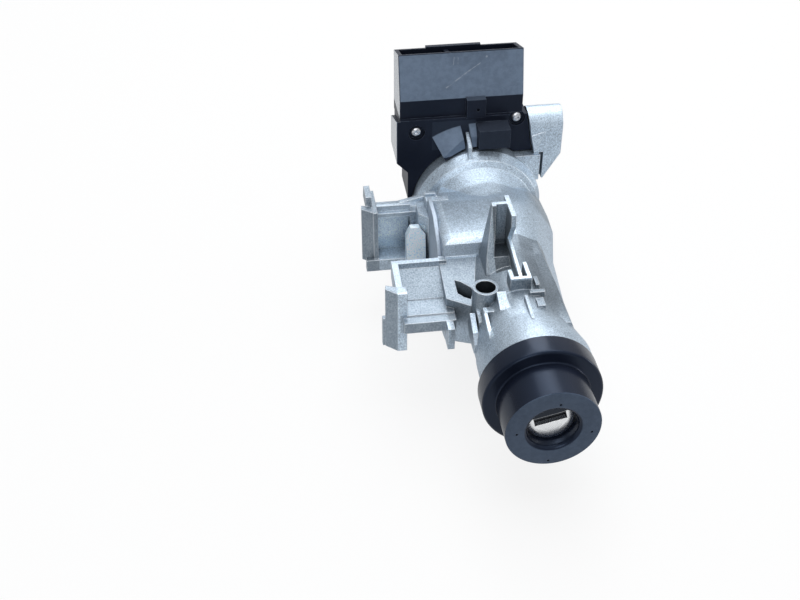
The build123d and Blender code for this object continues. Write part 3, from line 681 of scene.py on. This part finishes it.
SWITCH_PLASTIC = MouldedPlastic(
    "switch_plastic_finish", base=(0.011, 0.014, 0.025), sheen=(0.017, 0.021, 0.035),
    # painted sheen on the connector's leaning face and on the wide tab
    zones=(Zone((-30.1, 133.2, 45.0), (17.6, 139.0, 61.7), SWITCH_PAINTED_SHEEN),
           Zone((-18.0, 124.0, 24.0), (-1.05, 131.7, 36.4), SWITCH_PAINTED_SHEEN),
           # a lighter tone on the block beside the tab, then painted light on the lug's top
           Zone((-1.1, 124.0, 27.2), (11.4, 131.9, 35.4), (0.030, 0.038, 0.056)),
           Zone((-5.2, 130.4, 45.2), (2.6, 133.6, 45.6), (0.060, 0.078, 0.110)),
           # painted reflection, with clear coat: pale left sides of the connector and the plate
           Zone((-31.0, 133.0, 38.0), (-30.3, 151.0, 62.4), (0.30, 0.37, 0.47), 0.05, coat=1.0),
           Zone((-32.0, 131.0, 14.0), (-31.6, 150.0, 38.0), SWITCH_PAINTED_SHEEN, 0.05, coat=1.0)),
    scratches=(Scratch((-12.6, 134.6, 49.1), (-3.2, 136.2, 55.2), 0.35),
               Scratch((-9.6, 136.8, 57.4), (-9.3, 137.5, 60.2), 0.16),
               Scratch((-7.9, 136.8, 57.6), (-7.8, 137.5, 60.0), 0.16),
               Scratch((-3.2, 136.2, 55.2), (0.8, 136.8, 57.6), 0.22),
               Scratch((2.9, 137.3, 59.4), (3.3, 137.5, 60.0), 0.45)))
NOSE_PLASTIC = MouldedPlastic(
    "nose_plastic_finish", base=(0.007, 0.010, 0.020), sheen=(0.011, 0.015, 0.029),
    # painted sheen: a paler face round the key opening, with the ring round the bore left dark
    zones=(Zone((-15.4, -1.0, -15.4), (15.4, 0.25, 15.4), (0.088, 0.120, 0.176), ring=9.3),),
    roughness=0.2, gloss=0.3, coat=0.06, tint=(0.42, 0.62, 1.0), relief=0.06)
COVER_PLASTIC = MouldedPlastic(
    "cover_plastic_finish", base=(0.018, 0.021, 0.030), sheen=(0.030, 0.034, 0.044), roughness=0.42)
ROTOR_PLASTIC = Board("rotor_plastic_finish", (0.68, 0.67, 0.62), roughness=0.45)
CONTACT_BOARD = Board("contact_board_finish", (0.30, 0.20, 0.10))
CHROME = FaceChrome("chrome_finish", (0.97, 0.985, 1.0), roughness=0.22, marks=0.3 * MM)
# near-black steel, dark enough to stand as painted shade inside the key slot
FLAP_STEEL = BrightMetal("dust_flap_finish", (0.035, 0.04, 0.05), roughness=0.5, metallic=0.6)
ZINC = BrightMetal("zinc_screw_finish", (0.72, 0.75, 0.80), roughness=0.22)
STEEL = BrightMetal("steel_finish", (0.50, 0.53, 0.58), roughness=0.3)
PLATE_STEEL = BrightMetal("plate_steel_finish", (0.44, 0.52, 0.62), roughness=0.46, metallic=0.7)
DIE_CAST_ZINC = BrightMetal("die_cast_zinc_finish", (0.55, 0.57, 0.60), roughness=0.38)
BRASS = BrightMetal("wafer_brass_finish", (0.72, 0.55, 0.25), roughness=0.26)
TINNED = BrightMetal("tinned_terminal_finish", (0.76, 0.75, 0.70), roughness=0.2)
COPPER = BrightMetal("copper_finish", (0.80, 0.42, 0.25), roughness=0.22)
WINDING_WIRE = BrightMetal("winding_wire_finish", (0.62, 0.26, 0.12), roughness=0.3)


def box_of(node: str) -> tuple[Vector, Vector]:
    """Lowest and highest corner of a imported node, in metres."""
    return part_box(node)


def dress(obj: bpy.types.Object, finish: Finish) -> None:
    """Give a piece one material."""
    obj.data.materials.clear()
    obj.data.materials.append(finish.material())


def shade(mesh: bpy.types.Mesh, angle: float = SMOOTH_ANGLE) -> None:
    """Shade a mesh smooth, with sharp edges above an angle in degrees."""
    mesh.shade_smooth()
    mesh.set_sharp_from_angle(angle=math.radians(angle))


def linked(name: str, data: bpy.types.ID) -> bpy.types.Object:
    """Put a new object into the scene.

    Args:
        name: Its name.
        data: Its mesh, lamp or camera.

    Returns:
        The object.
    """
    obj = bpy.data.objects.new(name, data)
    bpy.context.scene.collection.objects.link(obj)
    return obj


def piece(name: str, mesh: bpy.types.Mesh, finish: Finish, body: Body, slot: str,
          nodes: Sequence[str] = ()) -> bpy.types.Object:
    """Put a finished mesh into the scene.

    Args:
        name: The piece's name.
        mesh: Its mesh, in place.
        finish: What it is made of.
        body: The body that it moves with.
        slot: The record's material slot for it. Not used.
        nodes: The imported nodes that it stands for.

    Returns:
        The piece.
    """
    obj = linked(name, mesh)
    dress(obj, finish)
    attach(obj, body.value)
    if nodes:
        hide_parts(*nodes)
    LOG.info("%s: %d faces", name, len(mesh.polygons))
    return obj


def merged(node: str) -> bmesh.types.BMesh:
    """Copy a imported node's mesh with its loose triangles joined into flat faces.

    Args:
        node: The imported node.

    Returns:
        The copy, which the caller frees.
    """
    shape = bmesh.new()
    shape.from_mesh(frame["nodes"][node].data)
    bmesh.ops.remove_doubles(shape, verts=shape.verts, dist=SAME_PLACE)
    bmesh.ops.dissolve_limit(
        shape, angle_limit=math.radians(SAME_PLANE), verts=shape.verts, edges=shape.edges)
    return shape


def baked(carrier: bpy.types.Object, name: str) -> bpy.types.Mesh:
    """Turn an object with modifiers into a plain mesh and remove the object.

    Args:
        carrier: The object whose modifiers are run.
        name: The new mesh's name.

    Returns:
        The plain mesh.
    """
    graph = bpy.context.evaluated_depsgraph_get()
    mesh = bpy.data.meshes.new_from_object(carrier.evaluated_get(graph))
    mesh.name = name
    bpy.data.objects.remove(carrier)
    return mesh


def rounded_piece(node: str, name: str, corner: Corner, finish: Finish, body: Body, slot: str,
                  smooth: float = SMOOTH_ANGLE) -> bpy.types.Object:
    """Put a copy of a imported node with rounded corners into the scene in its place.

    Args:
        node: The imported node.
        name: The piece's name.
        corner: How strongly its corners are rounded.
        finish: What it is made of.
        body: The body that it moves with.
        slot: The record's material slot for it.
        smooth: Edges blunter than this, in degrees, are shaded smooth.

    Returns:
        The piece.
    """
    shape = merged(node)
    mesh = bpy.data.meshes.new(name)
    shape.to_mesh(mesh)
    shape.free()
    if corner is not Corner.NONE:
        carrier = linked(name + "_carrier", mesh)
        bevel = carrier.modifiers.new("corners", "BEVEL")
        bevel.width = corner.value
        bevel.segments = 2
        bevel.limit_method = "ANGLE"
        bevel.angle_limit = math.radians(ROUND_ANGLE)
        bevel.use_clamp_overlap = True
        bevel.miter_outer = "MITER_ARC"
        mesh = baked(carrier, name)
    shade(mesh, smooth)
    return piece(name, mesh, finish, body, slot, [node])


def rounded_outline(outline: Outline, radii: Sequence[float], steps: int = 5) -> Outline:
    """Round the first corners of a closed outline.

    Args:
        outline: Its corners.
        radii: Radii of the first ones. The others stay sharp.
        steps: Straight pieces in each arc.

    Returns:
        The outline with its arcs as short pieces.
    """
    points: Outline = []
    count = len(outline)
    for index, corner in enumerate(outline):
        if index >= len(radii):
            points.append(corner)
            continue
        radius = radii[index]
        here = Vector(corner)
        back = (Vector(outline[index - 1]) - here).normalized()
        ahead = (Vector(outline[(index + 1) % count]) - here).normalized()
        half = back.angle(ahead) / 2
        centre = here + (back + ahead).normalized() * (radius / math.sin(half))
        first = here + back * (radius / math.tan(half)) - centre
        last = here + ahead * (radius / math.tan(half)) - centre
        for step in range(steps + 1):
            share = step / steps
            spoke = first.lerp(last, share).normalized() * radius
            points.append(tuple(centre + spoke))
    return points


def lathe(name: str, outline: Outline, turns: int = 200) -> bpy.types.Mesh:
    """Turn a closed outline of (y, radius) points about the lock axis.

    Args:
        name: The new mesh's name.
        outline: Closed outline that stays clear of the axis.
        turns: Steps round the axis.

    Returns:
        A ring-shaped mesh.
    """
    count = len(outline)
    points = []
    faces = []
    for turn in range(turns):
        angle = 2 * math.pi * turn / turns
        for y, radius in outline:
            points.append((radius * math.cos(angle), y, radius * math.sin(angle)))
        after = (turn + 1) % turns
        for index in range(count):
            ahead = (index + 1) % count
            faces.append((turn * count + index, turn * count + ahead,
                          after * count + ahead, after * count + index))
    mesh = bpy.data.meshes.new(name)
    mesh.from_pydata(points, [], faces)
    shape = bmesh.new()
    shape.from_mesh(mesh)
    bmesh.ops.recalc_face_normals(shape, faces=shape.faces)
    shape.to_mesh(mesh)
    shape.free()
    shade(mesh)
    return mesh


class Repeater:
    """A Geometry Nodes tree with named inputs, for what repeats."""

    def __init__(self, name: str, sizes: Mapping[str, float], finish: Finish) -> None:
        """Start the tree.

        Args:
            name: The tree's name.
            sizes: Its named inputs and their values.
            finish: What the made pieces are of.
        """
        self.group = bpy.data.node_groups.new(name, "GeometryNodeTree")
        self.tree = Tree(self.group)
        self.finish = finish
        self.values: dict[str, float] = {}
        face = self.group.interface
        face.new_socket("Geometry", in_out="INPUT", socket_type="NodeSocketGeometry")
        for label, value in sizes.items():
            socket = face.new_socket(label, in_out="INPUT", socket_type="NodeSocketFloat")
            self.values[socket.identifier] = value
        face.new_socket("Geometry", in_out="OUTPUT", socket_type="NodeSocketGeometry")
        self.base = self.tree.node("NodeGroupInput")

    def size(self, label: str) -> Socket:
        """One of the named inputs."""
        return self.base.beside(label)

    def vector(self, x: Any, y: Any, z: Any) -> Socket:
        """Three values as a vector."""
        return self.tree.node("ShaderNodeCombineXYZ", inputs={0: x, 1: y, 2: z})

    def tube(self, radius: Any, length: Any, lift: Any, sides: int) -> Socket:
        """Closed cylinder along Z whose middle is lifted.

        Args:
            radius: Its radius.
            length: Its length.
            lift: Height of its middle.
            sides: Number of its sides.

        Returns:
            The cylinder.
        """
        made = self.tree.node("GeometryNodeMeshCylinder", {"fill_type": "NGON"},
                              {"Vertices": sides, "Radius": radius, "Depth": length})
        return self.moved(made, {"Translation": self.vector(0.0, 0.0, lift)})

    def moved(self, geometry: Socket, change: Mapping[str, Any]) -> Socket:
        """Geometry moved, turned or scaled as a whole."""
        return self.tree.node("GeometryNodeTransform", inputs={"Geometry": geometry, **change})

    def on_points(self, points: Socket, shape: Socket, turn: Point = (0.0, 0.0, 0.0),
                  scale: Any = (1.0, 1.0, 1.0)) -> Socket:
        """The shape on every point, turned and scaled there."""
        return self.tree.node("GeometryNodeInstanceOnPoints", inputs={
            "Points": points, "Instance": shape, "Rotation": turn, "Scale": scale})

    def real(self, instances: Socket) -> Socket:
        """Instances turned into plain geometry."""
        return self.tree.node("GeometryNodeRealizeInstances", inputs={"Geometry": instances})

    def boolean(self, operation: str, first: Optional[Socket], *others: Socket) -> Socket:
        """Combine solids.

        Args:
            operation: UNION or DIFFERENCE.
            first: What is cut, or None for a union.
            *others: The cutters or the joined solids.

        Returns:
            The combined solid.
        """
        inputs = {"Mesh 2": list(others)}
        if first is not None:
            inputs["Mesh 1"] = first
        return self.tree.node("GeometryNodeMeshBoolean", {"operation": operation, "solver": "EXACT"}, inputs)

    def finish_with(self, geometry: Socket) -> None:
        """End the tree with plain geometry that has its material."""
        dressed = self.tree.node("GeometryNodeSetMaterial", inputs={
            "Geometry": self.real(geometry), "Material": self.finish.material()})
        self.tree.node("NodeGroupOutput", inputs={0: dressed})

    def bake(self, name: str, base: bpy.types.Mesh) -> bpy.types.Mesh:
        """Run the tree on a base mesh.

        Args:
            name: The new mesh's name.
            base: The points or the mesh that the tree works on.

        Returns:
            The plain mesh.
        """
        carrier = linked(name + "_carrier", base)
        modifier = carrier.modifiers.new("repeat", "NODES")
        modifier.node_group = self.group
        for identifier, value in self.values.items():
            modifier[identifier] = value
        mesh = baked(carrier, name)
        shade(mesh)
        return mesh


def points_mesh(name: str, points: Sequence[Point]) -> bpy.types.Mesh:
    """Make a mesh of loose points that a repeated shape is put on.

    Args:
        name: The mesh's name.
        points: The points.

    Returns:
        The mesh.
    """
    mesh = bpy.data.meshes.new(name)
    mesh.from_pydata([tuple(point) for point in points], [], [])
    return mesh


@dataclass
class KeyNose:
    """Black nose and flange around the key opening, with the winding in the flange."""

    opening: float = 8.1 * MM
    corners: tuple[float, ...] = (1.6 * MM, 0.35 * MM, 0.5 * MM, 0.9 * MM, 0.4 * MM)
    flange_start: float = 14.0 * MM
    wall: float = 5.0 * MM
    neck: float = 13.0 * MM
    pinhole: float = 0.42 * MM
    pinhole_circle: float = 12.2 * MM
    pinhole_depth: float = 1.5 * MM
    pinhole_turn: float = math.radians(-4.5)
    pinhole_centre: tuple[float, float] = (0.4 * MM, -1.7 * MM)
    chamber_out: float = 18.4 * MM
    chamber_in: float = 14.6 * MM
    chamber_front: float = 15.8 * MM
    winding_in: float = 14.9 * MM
    wire: float = 0.3 * MM
    wire_share: float = 0.48
    radius: float = field(init=False)
    flange: float = field(init=False)
    length: float = field(init=False)

    def __post_init__(self) -> None:
        """Read the nose's radius from its mount and the flange from its box."""
        mount = next(m for m in frame["record"]["mounts"] if m["name"] == "nose_spigot")
        self.radius = mount["dims"]["r_mm"] * MM
        low, high = box_of("coil_collar")
        self.flange = high.x
        self.length = high.y

    def build(self) -> None:
        """Make the moulding and the winding."""
        self.moulding()
        self.winding()

    def moulding(self) -> None:
        """Turned nose with a rounded lip, and four pinholes in its face."""
        outline = [
            (0.0, self.opening), (0.0, self.radius), (self.flange_start, self.radius),
            (self.flange_start, self.flange), (self.length, self.flange), (self.length, self.chamber_out),
            (self.chamber_front, self.chamber_out), (self.chamber_front, self.chamber_in),
            (self.length, self.chamber_in), (self.length, self.neck), (self.wall, self.neck),
            (self.wall, self.opening)]
        base = lathe("nose_blank", rounded_outline(outline, self.corners))
        sizes = {"Hole Radius": self.pinhole, "Ring Radius": self.pinhole_circle, "Depth": self.pinhole_depth}
        repeater = Repeater("pinholes", sizes, NOSE_PLASTIC)
        tree, size = repeater.tree, repeater.size
        ring = tree.node("GeometryNodeMeshCircle", inputs={"Vertices": 4, "Radius": size("Ring Radius")})
        drill = repeater.tube(size("Hole Radius"), size("Depth") * 2, 0.0, 16)
        drills = repeater.real(repeater.on_points(ring, drill))
        turned = repeater.moved(drills, {"Rotation": (0.0, 0.0, self.pinhole_turn)})
        placed = repeater.moved(turned, {
            "Rotation": (math.pi / 2, 0.0, 0.0),
            "Translation": (self.pinhole_centre[0], 0.0, self.pinhole_centre[1])})
        repeater.finish_with(repeater.boolean("DIFFERENCE", repeater.base, placed))
        piece("nose_moulding", repeater.bake("nose_moulding", base), NOSE_PLASTIC, Body.HOUSING,
              "collar_plastic", ["coil_collar"])

    def winding(self) -> None:
        """Turns of enamelled wire in the flange's chamber."""
        low, high = box_of("antenna_coil")
        outer = high.x - self.wire / 2
        layers = int((outer - self.winding_in) / self.wire)
        rows = int((high.y - low.y) / self.wire)
        sizes = {"Ring Radius": (outer + self.winding_in) / 2, "Wire Radius": self.wire * self.wire_share}
        repeater = Repeater("coil_winding", sizes, WINDING_WIRE)
        tree, size = repeater.tree, repeater.size
        ring, section = (
            tree.node("GeometryNodeCurvePrimitiveCircle", inputs={"Resolution": sides, "Radius": size(label)})
            for sides, label in ((48, "Ring Radius"), (5, "Wire Radius")))
        turn = tree.node("GeometryNodeCurveToMesh", inputs={"Curve": ring, "Profile Curve": section})
        across = tree.axes(tree.node("GeometryNodeInputPosition"))[0]
        marked = tree.node("GeometryNodeStoreNamedAttribute", {"data_type": "FLOAT", "domain": "POINT"}, {
            "Geometry": repeater.base, "Name": "grown", "Value": across / size("Ring Radius")})
        on_axis = tree.node("GeometryNodeSetPosition", inputs={
            "Geometry": marked, "Offset": repeater.vector(across * -1.0, 0.0, 0.0)})
        grown = tree.node("GeometryNodeInputNamedAttribute", {"data_type": "FLOAT"}, {"Name": "grown"})
        repeater.finish_with(repeater.on_points(
            on_axis, turn, (math.pi / 2, 0.0, 0.0), repeater.vector(grown, grown, 1.0)))
        spots = [(self.winding_in + self.wire * (layer + 0.5), low.y + self.wire * (row + 0.5), 0.0)
                 for layer in range(layers) for row in range(rows)]
        piece("reader_winding", repeater.bake("reader_winding", points_mesh("winding_spots", spots)),
              WINDING_WIRE, Body.HOUSING, "copper_winding", ["antenna_coil"])


@dataclass
class CastLock:
    """The casting with its cover plate, bolt and spring."""

    lift: float = 7.0 * MM

    def build(self) -> None:
        """Round the casting's corners and dress what it carries."""
        rounded_piece("housing", "cast_body", Corner.CAST, CAST, Body.HOUSING, "cast_alloy", smooth=18.0)
        rounded_piece("bolt_cover_plate", "chamber_cover", Corner.PRESSED, PLATE_STEEL, Body.HOUSING,
                      "plate_steel")
        rounded_piece("lock_bolt", "column_bolt", Corner.MOULDED, STEEL, Body.BOLT, "bolt_steel")
        self.spring()

    def spring(self) -> None:
        """The bolt's spring, given a mesh of its own."""
        spring = rounded_piece("bolt_spring", "bolt_spring_coil", Corner.NONE, STEEL, Body.HOUSING,
                               "spring_steel")
        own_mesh(spring)


@dataclass
class LockCylinder:
    """Sleeve, plug, wafers and what turns with the key."""

    def build(self) -> None:
        """Round and dress each piece."""
        for row in (
            ("cylinder_sleeve", "fixed_sleeve", Corner.PRESSED, DIE_CAST_ZINC, Body.HOUSING, "zinc_sleeve"),
            ("key_plug", "turning_plug", Corner.NONE, DIE_CAST_ZINC, Body.ROTOR, "plug_metal"),
            ("plug_face", "bright_face", Corner.PRESSED, CHROME, Body.ROTOR, "bright_chrome"),
            ("wafers", "wafer_set", Corner.NONE, BRASS, Body.ROTOR, "wafer_brass"),
            ("shutter_pin", "flap_pin", Corner.NONE, STEEL, Body.ROTOR, "spring_steel"),
            ("shutter_flap", "dust_flap", Corner.NONE, FLAP_STEEL, Body.SHUTTER, "flap_steel"),
            ("driver_shaft", "drive_shaft", Corner.PRESSED, STEEL, Body.ROTOR, "shaft_steel"),
            ("lock_cam", "lift_cam", Corner.PRESSED, STEEL, Body.ROTOR, "bolt_steel"),
        ):
            rounded_piece(*row)


@dataclass
class SwitchUnit:
    """Black switch body with its screws, blades, rotor and rear cover."""

    screw_head: float = 1.5 * MM
    socket: float = 0.95 * MM
    socket_depth: float = 0.8 * MM
    shank: float = 0.62
    dome: float = 0.995
    tip: float = 2.4 * MM
    tip_loss: float = 0.45

    def build(self) -> None:
        """Make the switch."""
        rounded_piece("switch_housing", "switch_shell", Corner.MOULDED, SWITCH_PLASTIC, Body.HOUSING,
                      "black_plastic", smooth=12.0)
        for row in (
            ("switch_cover", "rear_cover", Corner.MOULDED, COVER_PLASTIC, Body.HOUSING, "cover_plastic"),
            ("contact_board", "fixed_contacts", Corner.NONE, CONTACT_BOARD, Body.HOUSING, "board_plastic"),
            ("switch_rotor", "contact_carrier", Corner.PRESSED, ROTOR_PLASTIC, Body.ROTOR, "rotor_plastic"),
            ("contact_bridges", "moving_contacts", Corner.NONE, COPPER, Body.ROTOR, "copper"),
        ):
            rounded_piece(*row)
        self.screws()
        self.blades()

    def screws(self) -> None:
        """Two pan-head screws with hexagon sockets."""
        boxes = [box_of("switch_screw_left"), box_of("switch_screw_right")]
        low, high = boxes[0]
        half = (high.x - low.x) / 2
        repeater = Repeater("pan_head_screws", {
            "Head Radius": half, "Head Height": self.screw_head, "Socket Radius": self.socket,
            "Socket Depth": self.socket_depth, "Shank Radius": half * self.shank,
            "Shank Length": high.y - low.y - self.screw_head}, ZINC)
        tree, size = repeater.tree, repeater.size
        radius, height, length = size("Head Radius"), size("Head Height"), size("Shank Length")
        rim = repeater.tube(radius, height * 0.5, height * 0.25, 40)
        ball = tree.node("GeometryNodeMeshUVSphere", inputs={"Segments": 40, "Rings": 20, "Radius": radius})
        dome = repeater.moved(ball, {
            "Scale": repeater.vector(self.dome, self.dome, height * 0.5 / radius),
            "Translation": repeater.vector(0.0, 0.0, height * 0.5)})
        shank = repeater.tube(size("Shank Radius"), length + height * 0.2, length * -0.5 + height * 0.1, 24)
        head = repeater.boolean("UNION", None, rim, dome, shank)
        hexagon = repeater.tube(size("Socket Radius"), size("Socket Depth") * 2, height, 6)
        screw = repeater.boolean("DIFFERENCE", head, hexagon)
        repeater.finish_with(repeater.on_points(repeater.base, screw, (math.pi / 2, 0.0, 0.0)))
        spots = [((a.x + b.x) / 2, a.y + self.screw_head, (a.z + b.z) / 2) for a, b in boxes]
        piece("switch_screws", repeater.bake("switch_screws", points_mesh("screw_spots", spots)), ZINC,
              Body.HOUSING, "zinc_screw", ["switch_screw_left", "switch_screw_right"])

    def blades(self) -> None:
        """Blade terminals with narrowed tips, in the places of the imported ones."""
        shape = merged("terminals")
        starts = sorted({round(vertex.co.x, 6) for vertex in shape.verts})
        shape.free()
        low, high = box_of("terminals")
        width = starts[1] - starts[0]
        repeater = Repeater("blade_terminals", {
            "Width": width, "Thickness": high.y - low.y, "Height": high.z - low.z, "Tip": self.tip}, TINNED)
        tree, size = repeater.tree, repeater.size
        blade = tree.node("GeometryNodeMeshCube", inputs={
            "Size": repeater.vector(size("Width"), size("Thickness"), size("Height")),
            "Vertices X": 2, "Vertices Y": 2, "Vertices Z": 13})
        spot = tree.node("GeometryNodeInputPosition")
        tall = tree.axes(spot)[2]
        top = size("Height") * 0.5
        narrow = 1 - (tall - (top - size("Tip"))).step(0.0, self.tip) * self.tip_loss
        shaped = tree.node("ShaderNodeVectorMath", {"operation": "MULTIPLY"},
                           {0: spot, 1: repeater.vector(narrow, narrow, 1.0)})
        tapered = tree.node("GeometryNodeSetPosition", inputs={"Geometry": blade, "Position": shaped})
        repeater.finish_with(repeater.on_points(repeater.base, tapered))
        middle_y = (low.y + high.y) / 2
        middle_z = (low.z + high.z) / 2
        spots = [(start + width / 2, middle_y, middle_z) for start in starts[::2]]
        piece("plug_blades", repeater.bake("plug_blades", points_mesh("blade_spots", spots)), TINNED,
              Body.HOUSING, "terminal_metal", ["terminals"])


@dataclass(frozen=True)
class Lamp:
    """A soft area lamp aimed at the middle of the object."""

    name: str
    place: Point
    width: float
    watts: float

    def build(self, aim: Vector) -> None:
        """Hang the lamp.

        Args:
            aim: The point that it faces.
        """
        data = bpy.data.lights.new(self.name, "AREA")
        data.shape = "DISK"
        data.size = self.width
        data.energy = self.watts
        lamp = linked(self.name, data)
        lamp.location = self.place
        lamp.rotation_euler = (aim - Vector(self.place)).to_track_quat("-Z", "Y").to_euler()


@dataclass
class Studio:
    """Table, soft light and the camera."""

    focal_pixels: float = 1100.0
    image_width: float = 800.0
    sensor: float = 36.0
    eye: Point = (-80.27 * MM, -234.3 * MM, 245.75 * MM)
    turn: float = math.radians(-7.74)
    pitch: float = math.radians(38.6)
    table_reach: float = 3.0
    room_low: float = 0.16
    room_high: float = 0.42
    wall_low: float = 0.12
    wall_high: float = 0.85
    wall_rise: tuple[float, float] = (0.12, 0.6)
    wall_turn: tuple[float, float] = (-1.0, 0.1)
    room_side: Point = (0.35, 0.45, 0.8)
    room_turn: tuple[float, float] = (-0.5, 0.95)
    lamps: tuple[Lamp, ...] = (
        Lamp("key_lamp", (0.05, 0.3, 0.97), 1.15, 7.0),
        Lamp("back_lamp", (0.1, 0.85, 0.7), 0.45, 1.6),
        Lamp("front_lamp", (-0.2, -0.95, 0.5), 0.6, 2.6),
        Lamp("right_lamp", (0.95, 0.05, 0.05), 0.35, 1.8),
    )

    def build(self) -> None:
        """Set up everything that isn't the object."""
        low, high = CAD_BOX
        middle = (low + high) / 2
        self.table(low.z)
        self.room()
        for lamp in self.lamps:
            lamp.build(middle)
        self.camera()
        bpy.context.scene.view_settings.view_transform = "Standard"

    def table(self, level: float) -> None:
        """White plane under the part.

        Args:
            level: Its height.
        """
        mesh = bpy.data.meshes.new("table")
        corners = [(x * self.table_reach, y * self.table_reach, level)
                   for x, y in ((-1, -1), (1, -1), (1, 1), (-1, 1))]
        mesh.from_pydata(corners, [], [(0, 1, 2, 3)])
        table = linked("table", mesh)
        dress(table, Backdrop("table_finish"))

    def room(self) -> None:
        """White to the camera and in reflections, dimmer as a light."""
        world = bpy.data.worlds.new("room")
        world.use_nodes = True
        tree = Tree(world.node_tree)
        towards = tree.node("ShaderNodeTexCoord", output="Generated")
        across, _, height = tree.axes(towards)
        turned = height.step(*self.wall_rise) * across.step(*self.wall_turn)
        looked_at = tree.looked_at(self.wall_low + (self.wall_high - self.wall_low) * turned)
        share = tree.dot(towards, self.room_side).step(*self.room_turn)
        lit = share * (self.room_high - self.room_low) + self.room_low
        light = tree.node("ShaderNodeBackground", inputs={
            "Color": (1.0, 1.0, 1.0, 1.0), "Strength": looked_at * (1 - lit) + lit})
        tree.node("ShaderNodeOutputWorld", inputs={"Surface": light})
        bpy.context.scene.world = world

    def camera(self) -> None:
        """Camera at the photograph's place, angle and field of view."""
        data = bpy.data.cameras.new("camera")
        data.sensor_width = self.sensor
        data.lens = self.focal_pixels * self.sensor / self.image_width
        data.clip_start = 0.01
        data.clip_end = 20.0
        camera = linked("camera", data)
        camera.location = self.eye
        camera.rotation_euler = (math.pi / 2 - self.pitch, 0.0, self.turn)
        bpy.context.scene.camera = camera


def main() -> None:
    """Build each sub-assembly and the studio."""
    logging.basicConfig(level=logging.INFO, format="%(message)s")
    for part in (KeyNose(), CastLock(), LockCylinder(), SwitchUnit(), Studio()):
        LOG.info("%s", type(part).__name__)
        part.build()


if __name__ == "__main__":
    main()
